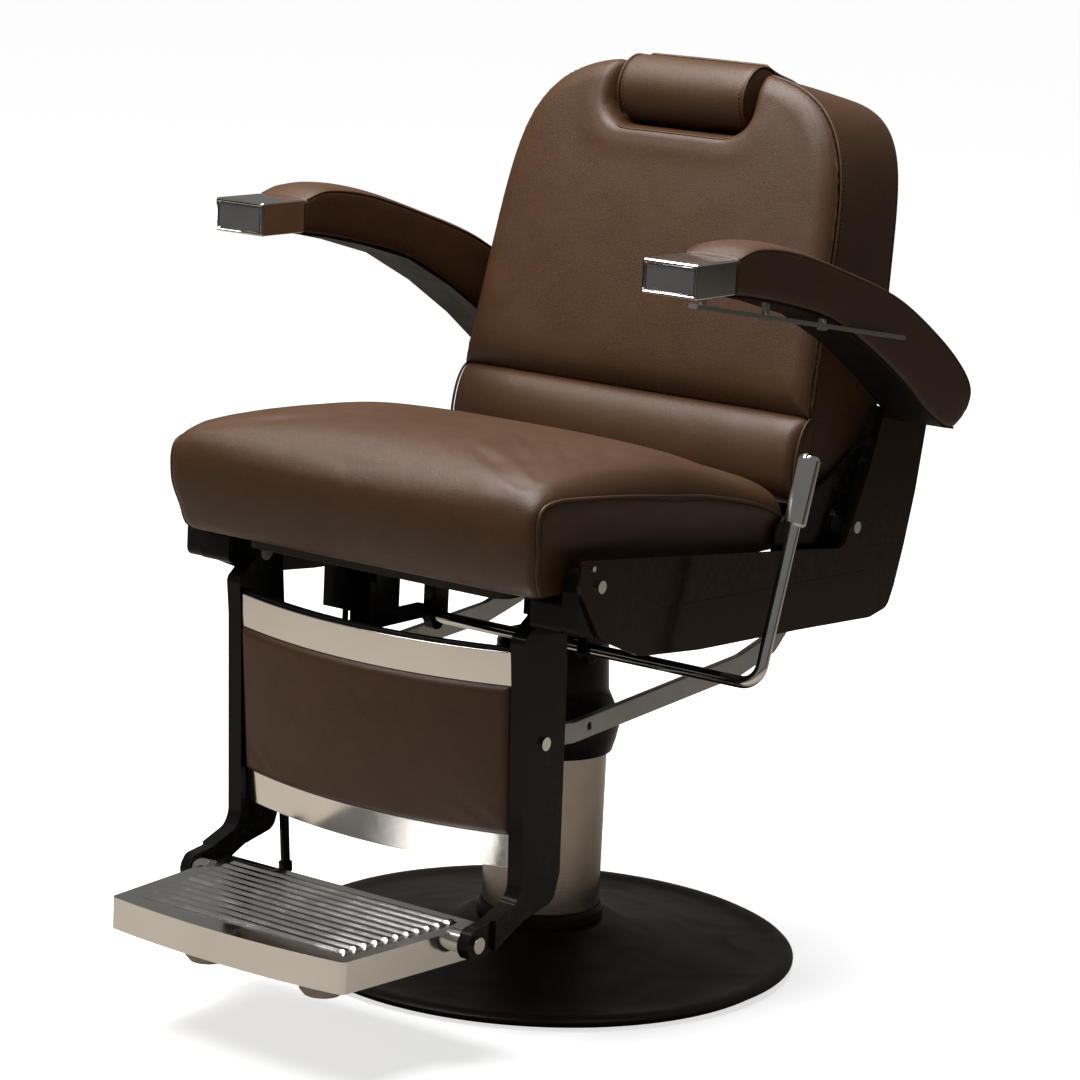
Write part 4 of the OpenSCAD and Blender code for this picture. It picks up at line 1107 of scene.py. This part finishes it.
class CHAIR_OT_calf_panel(bpy.types.Operator):
    """Makes the bowed vinyl panel between the chrome strips"""
    bl_idname = "chair.calf_panel"
    bl_label = "Calf panel"

    def execute(self, context):
        across, up = 150, 80
        bend = (CALF_HALF_W ** 2 + CALF_BOW ** 2) / (2 * CALF_BOW)
        x = eased(across) * (CALF_HALF_W - 1.6)
        z = (CALF_LOW + CALF_HIGH) / 2 + eased(up) * (CALF_HIGH - CALF_LOW) / 2
        gx, gz = np.meshgrid(x, z)
        d = np.minimum(CALF_HALF_W - 1.6 - np.abs(gx), np.minimum(gz - CALF_LOW, CALF_HIGH - gz))
        arc = np.sqrt(bend ** 2 - gx ** 2) - (bend - CALF_BOW)
        puff = (7.5 * np.sqrt(np.clip(1 - (1 - np.minimum(d, 9) / 9) ** 2, 0, 1))
                + 1.6 * np.clip(d / 60, 0, 1) ** 0.7)
        near = np.exp(-((np.abs(gx) - 150) / 40) ** 2 - ((gz - CALF_LOW - 18) / 16) ** 2)
        ripple = 0.5 * near * np.sin(gx * 0.16 + gz * 0.22)
        y = -(arc - 2.4 + puff + ripple)
        front = np.stack([gx, y, gz], -1)
        behind = np.stack([gx, -(arc - 3.8), gz], -1)[:, ::-1]
        loop = np.concatenate([front, behind], 1)
        n = loop.shape[1]
        faces = grid_faces(up, n, True)
        for row in (0, up - 1):
            faces += folded_end(row * n, n, across - 1)
        panel = make_piece("calf_cover", on_calf(loop), faces, "Vinyl", "leg_rest", ["calf_pad"])
        return {"FINISHED"}


class CHAIR_OT_footplate_tread(bpy.types.Operator):
    """Makes the footplate's half-round ribs"""
    bl_idname = "chair.footplate_tread"
    bl_label = "Footplate tread"

    top, front, rear, ribs = 147.0, -559.0, -348.0, 11
    front_half, rear_half = 163.0, 180.0

    def execute(self, context):
        pitch = (self.rear - self.front - 36) / self.ribs
        y = np.linspace(self.front + 22, self.front + 22 + pitch * self.ribs, 18 * self.ribs + 1)
        half = self.rear_half + (self.front_half - self.rear_half) * (self.rear - y) / (self.rear - self.front) - 21
        u = np.concatenate([-1 + 0.05 * (1 - np.cos(np.linspace(0, math.pi / 2, 8))), np.linspace(-0.9, 0.9, 9),
                            1 - 0.05 * (1 - np.cos(np.linspace(math.pi / 2, 0, 8)))])
        x = half[:, None] * u[None, :]
        off = np.abs((y - self.front - 22) % pitch - pitch / 2)
        rib = np.clip(1 - (off / 5.9) ** 2.6, 0, 1) ** 0.45
        inner = np.clip((half[:, None] - np.abs(x)) / 6, 0, 1)
        z = self.top + 0.15 + 3.8 * rib[:, None] * np.sqrt(1 - (1 - inner) ** 2)
        upper = np.stack([x, np.broadcast_to(y[:, None], x.shape), z], -1)
        lower = upper[:, ::-1].copy()
        lower[..., 2] = self.top - 1.5
        loop = np.concatenate([upper, lower], 1)
        rows, n = loop.shape[:2]
        faces = grid_faces(rows, n, True)
        for row in (0, rows - 1):
            faces += folded_end(row * n, n, n // 2 - 1)
        make_piece("footplate_tread", loop, faces, "Plate alloy", "footplate")
        return {"FINISHED"}


# ---- frame nodes ----

FINISH_OF = {
    "Base lacquer": ("base_disc", "column_flange"),
    "Rubber black": ("base_ring", "piston_seal"),
    "Column chrome": ("column_jacket",),
    "Chrome": ("jacket_cap", "ram", "arm_cap_left", "arm_cap_right", "towel_rail", "lever_rod", "lever_grip",
               "panel_bolts", "headrest_bars", "link_pins", "footplate_pins"),
    "Strip chrome": ("calf_strip_top", "calf_strip_bottom"),
    "Plate alloy": ("footplate",),
    "Link steel": ("link_bar_left", "link_bar_right"),
    "Bare steel": ("flange_screws", "pump_cylinder", "cylinder_foot", "piston", "leg_pivot_pins", "back_shaft",
                   "crank_pins", "headrest_plate", "headrest_sockets"),
    "Gland bronze": ("cylinder_gland", "thrust_washer"),
    "Gloss black": ("swivel_head", "seat_frame", "frame_bracket", "lever_bracket_left", "lever_bracket_right",
                    "side_casting_left", "side_casting_right", "back_frame", "leg_upright_left",
                    "leg_upright_right",
                    "calf_board", "stop_rod"),
    "Satin black": ("arm_plate_left", "arm_plate_right"),
    "Panel brown": ("side_panel_left", "side_panel_right"),
    "Insert grey": ("cap_inserts",),
    "Rubber grey": ("footplate_feet",),
    "Seat board": ("seat_pan",),
}
# Width in mm of the rounding on the edges of some nodes; the rest have the plain one.
EDGE_OF = {
    "arm_cap_left": 3.2, "arm_cap_right": 3.2, "footplate": 2.6, "side_panel_left": 1.2, "side_panel_right": 1.2,
    "leg_upright_left": 3.0, "leg_upright_right": 3.0, "link_bar_left": 1.2, "link_bar_right": 1.2,
    "frame_bracket": 2.0, "calf_board": 1.0, "calf_strip_top": 1.0, "calf_strip_bottom": 1.0, "lever_grip": 0.5,
    "base_disc": 1.0, "footplate_feet": 2.0, "side_casting_left": 2.0, "side_casting_right": 2.0,
    "panel_bolts": 1.4, "towel_rail": 1.0, "column_flange": 1.0,
}
PLAIN_EDGE = 0.6


class CHAIR_OT_frame_finishes(bpy.types.Operator):
    """Gives the frame's nodes their finishes and eases their edges"""
    bl_idname = "chair.frame_finishes"
    bl_label = "Frame finishes"

    def execute(self, context):
        for finish, names in FINISH_OF.items():
            for name in names:
                obj = frame["nodes"][name]
                for slot in obj.material_slots:
                    slot.material = bpy.data.materials[finish]
                obj.data.polygons.foreach_set("use_smooth", [True] * len(obj.data.polygons))
                self.ease(obj, EDGE_OF.get(name, PLAIN_EDGE) * MM)
        return {"FINISHED"}

    def ease(self, obj, width):
        weld = obj.modifiers.new("Weld", "WELD")
        weld.merge_threshold = 1e-5
        bevel = obj.modifiers.new("Eased edges", "BEVEL")
        bevel.width = width
        bevel.segments = 3 if width > 1.1 * MM else 2
        bevel.limit_method = "ANGLE"
        bevel.angle_limit = math.radians(32)
        bevel.use_clamp_overlap = True
        bevel.harden_normals = False
        normals = obj.modifiers.new("Flat faces", "WEIGHTED_NORMAL")
        normals.keep_sharp = False
        normals.weight = 60


class CHAIR_OT_stage(bpy.types.Operator):
    """Makes the plain floor, the lamps, the world and the camera"""
    bl_idname = "chair.stage"
    bl_label = "Stage"

    def execute(self, context):
        scene = context.scene
        self.floor(scene)
        self.world(scene)
        self.lamp("key", (-1.0, -1.6, 2.9), (0, -0.1, 0.6), 1.6, 52)
        self.lamp("top", (-0.3, -0.2, 3.1), (0, 0.0, 0.5), 2.4, 152)
        self.camera(scene)
        scene.view_settings.view_transform = "Standard"
        return {"FINISHED"}

    def floor(self, scene):
        size, sides = 40.0, 96
        rings = [size * (i / 12) ** 2 for i in range(13)]
        points = []
        for r in rings:
            for i in range(sides):
                a = 2 * math.pi * i / sides
                points.append((r * math.cos(a) / MM, r * math.sin(a) / MM, -0.05))
        faces = grid_faces(len(rings), sides, True)
        mesh = bpy.data.meshes.new("studio_floor")
        mesh.from_pydata([(x * MM, y * MM, z * MM) for x, y, z in points], [], faces)
        obj = bpy.data.objects.new("studio_floor", mesh)
        scene.collection.objects.link(obj)
        material, tree, shader = new_material("Studio floor", Roughness=0.9, Specular_IOR_Level=0.0)
        seen = node(tree, "ShaderNodeLightPath").outputs["Is Camera Ray"]
        colours = scene.chair_colours
        tone = mix_colours(tree, seen, rgba(colours.floor_bounce), rgba(colours.floor))
        tree.links.new(tone, shader.inputs["Base Color"])
        shader.inputs["Emission Color"].default_value = (1, 1, 1, 1)
        place = place_of(tree)
        away = node(tree, "ShaderNodeVectorMath", {0: place}, operation="LENGTH").outputs["Value"]
        glow = ramp(tree, away, 1.2, 4.5, 0.70, 0.93)
        tree.links.new(math_node(tree, "MULTIPLY", seen, glow), shader.inputs["Emission Strength"])
        mesh.materials.append(material)

    def world(self, scene):
        world = bpy.data.worlds.new("Studio")
        scene.world = world
        world.use_nodes = True
        tree = world.node_tree
        path = node(tree, "ShaderNodeLightPath")
        mirrored = math_node(tree, "MAXIMUM", path.outputs["Is Glossy Ray"], path.outputs["Is Transmission Ray"])
        glow = math_node(tree, "ADD", math_node(tree, "MULTIPLY", path.outputs["Is Camera Ray"], 0.95),
                         math_node(tree, "MULTIPLY", mirrored, 0.11))
        back = tree.nodes["Background"]
        back.inputs["Color"].default_value = (1, 0.98, 0.95, 1)
        tree.links.new(math_node(tree, "ADD", glow, 0.06), back.inputs["Strength"])

    def lamp(self, name, at, aim, size, power):
        light = bpy.data.lights.new(name, "AREA")
        light.shape = "DISK"
        light.size = size
        light.energy = power
        obj = bpy.data.objects.new(name, light)
        bpy.context.scene.collection.objects.link(obj)
        obj.location = at
        obj.rotation_euler = (Vector(at) - Vector(aim)).to_track_quat("Z", "Y").to_euler()

    def camera(self, scene):
        azimuth, elevation, roll = (math.radians(a) for a in (36.21, 11.48, 2.89))
        distance, target, focal, width = 4.393, 0.489, 3816.0, 1080.0
        away = Vector((math.sin(azimuth) * math.cos(elevation), -math.cos(azimuth) * math.cos(elevation),
                       math.sin(elevation)))
        right = Vector((math.cos(azimuth), math.sin(azimuth), 0))
        up = away.cross(right)
        x_axis = right * math.cos(roll) + up * math.sin(roll)
        y_axis = up * math.cos(roll) - right * math.sin(roll)
        data = bpy.data.cameras.new("camera")
        data.sensor_width = 36
        data.lens = focal / width * data.sensor_width
        data.shift_x = -(558.1 - width / 2) / width
        data.shift_y = (541.8 - width / 2) / width
        data.clip_end = 100
        obj = bpy.data.objects.new("camera", data)
        scene.collection.objects.link(obj)
        turn = Matrix((x_axis, y_axis, away)).transposed().to_4x4()
        turn.translation = Vector((0, 0, target)) + away * distance
        obj.matrix_world = turn
        scene.camera = obj


PIECES = (
    CHAIR_OT_frame_finishes, CHAIR_OT_back_cover, CHAIR_OT_back_cushion, CHAIR_OT_lumbar_roll, CHAIR_OT_headrest,
    CHAIR_OT_seat_cushion, CHAIR_OT_arm_pads, CHAIR_OT_calf_panel, CHAIR_OT_footplate_tread, CHAIR_OT_stage,
)


class CHAIR_PT_panel(bpy.types.Panel):
    """Lists the chair's sizes, colours and pieces"""
    bl_idname = "CHAIR_PT_panel"
    bl_label = "Barber chair"
    bl_space_type = "VIEW_3D"
    bl_region_type = "UI"
    bl_category = "Barber chair"

    def draw(self, context):
        column = self.layout.column()
        for holder in (context.scene.chair_sizes, context.scene.chair_colours):
            for key in holder.__annotations__:
                column.prop(holder, key)
        for piece in PIECES:
            column.operator(piece.bl_idname)


CLASSES = (ChairSizes, ChairColours, *PIECES, CHAIR_PT_panel)


def register():
    for cls in CLASSES:
        bpy.utils.register_class(cls)
    bpy.types.Scene.chair_sizes = PointerProperty(type=ChairSizes)
    bpy.types.Scene.chair_colours = PointerProperty(type=ChairColours)


def unregister():
    del bpy.types.Scene.chair_colours
    del bpy.types.Scene.chair_sizes
    for cls in reversed(CLASSES):
        bpy.utils.unregister_class(cls)


def main():
    register()
    finishes(bpy.context.scene.chair_colours)
    for piece in PIECES:
        group, name = piece.bl_idname.split(".")
        getattr(getattr(bpy.ops, group), name)()
    bpy.context.view_layer.update()


if __name__ == "__main__":
    main()
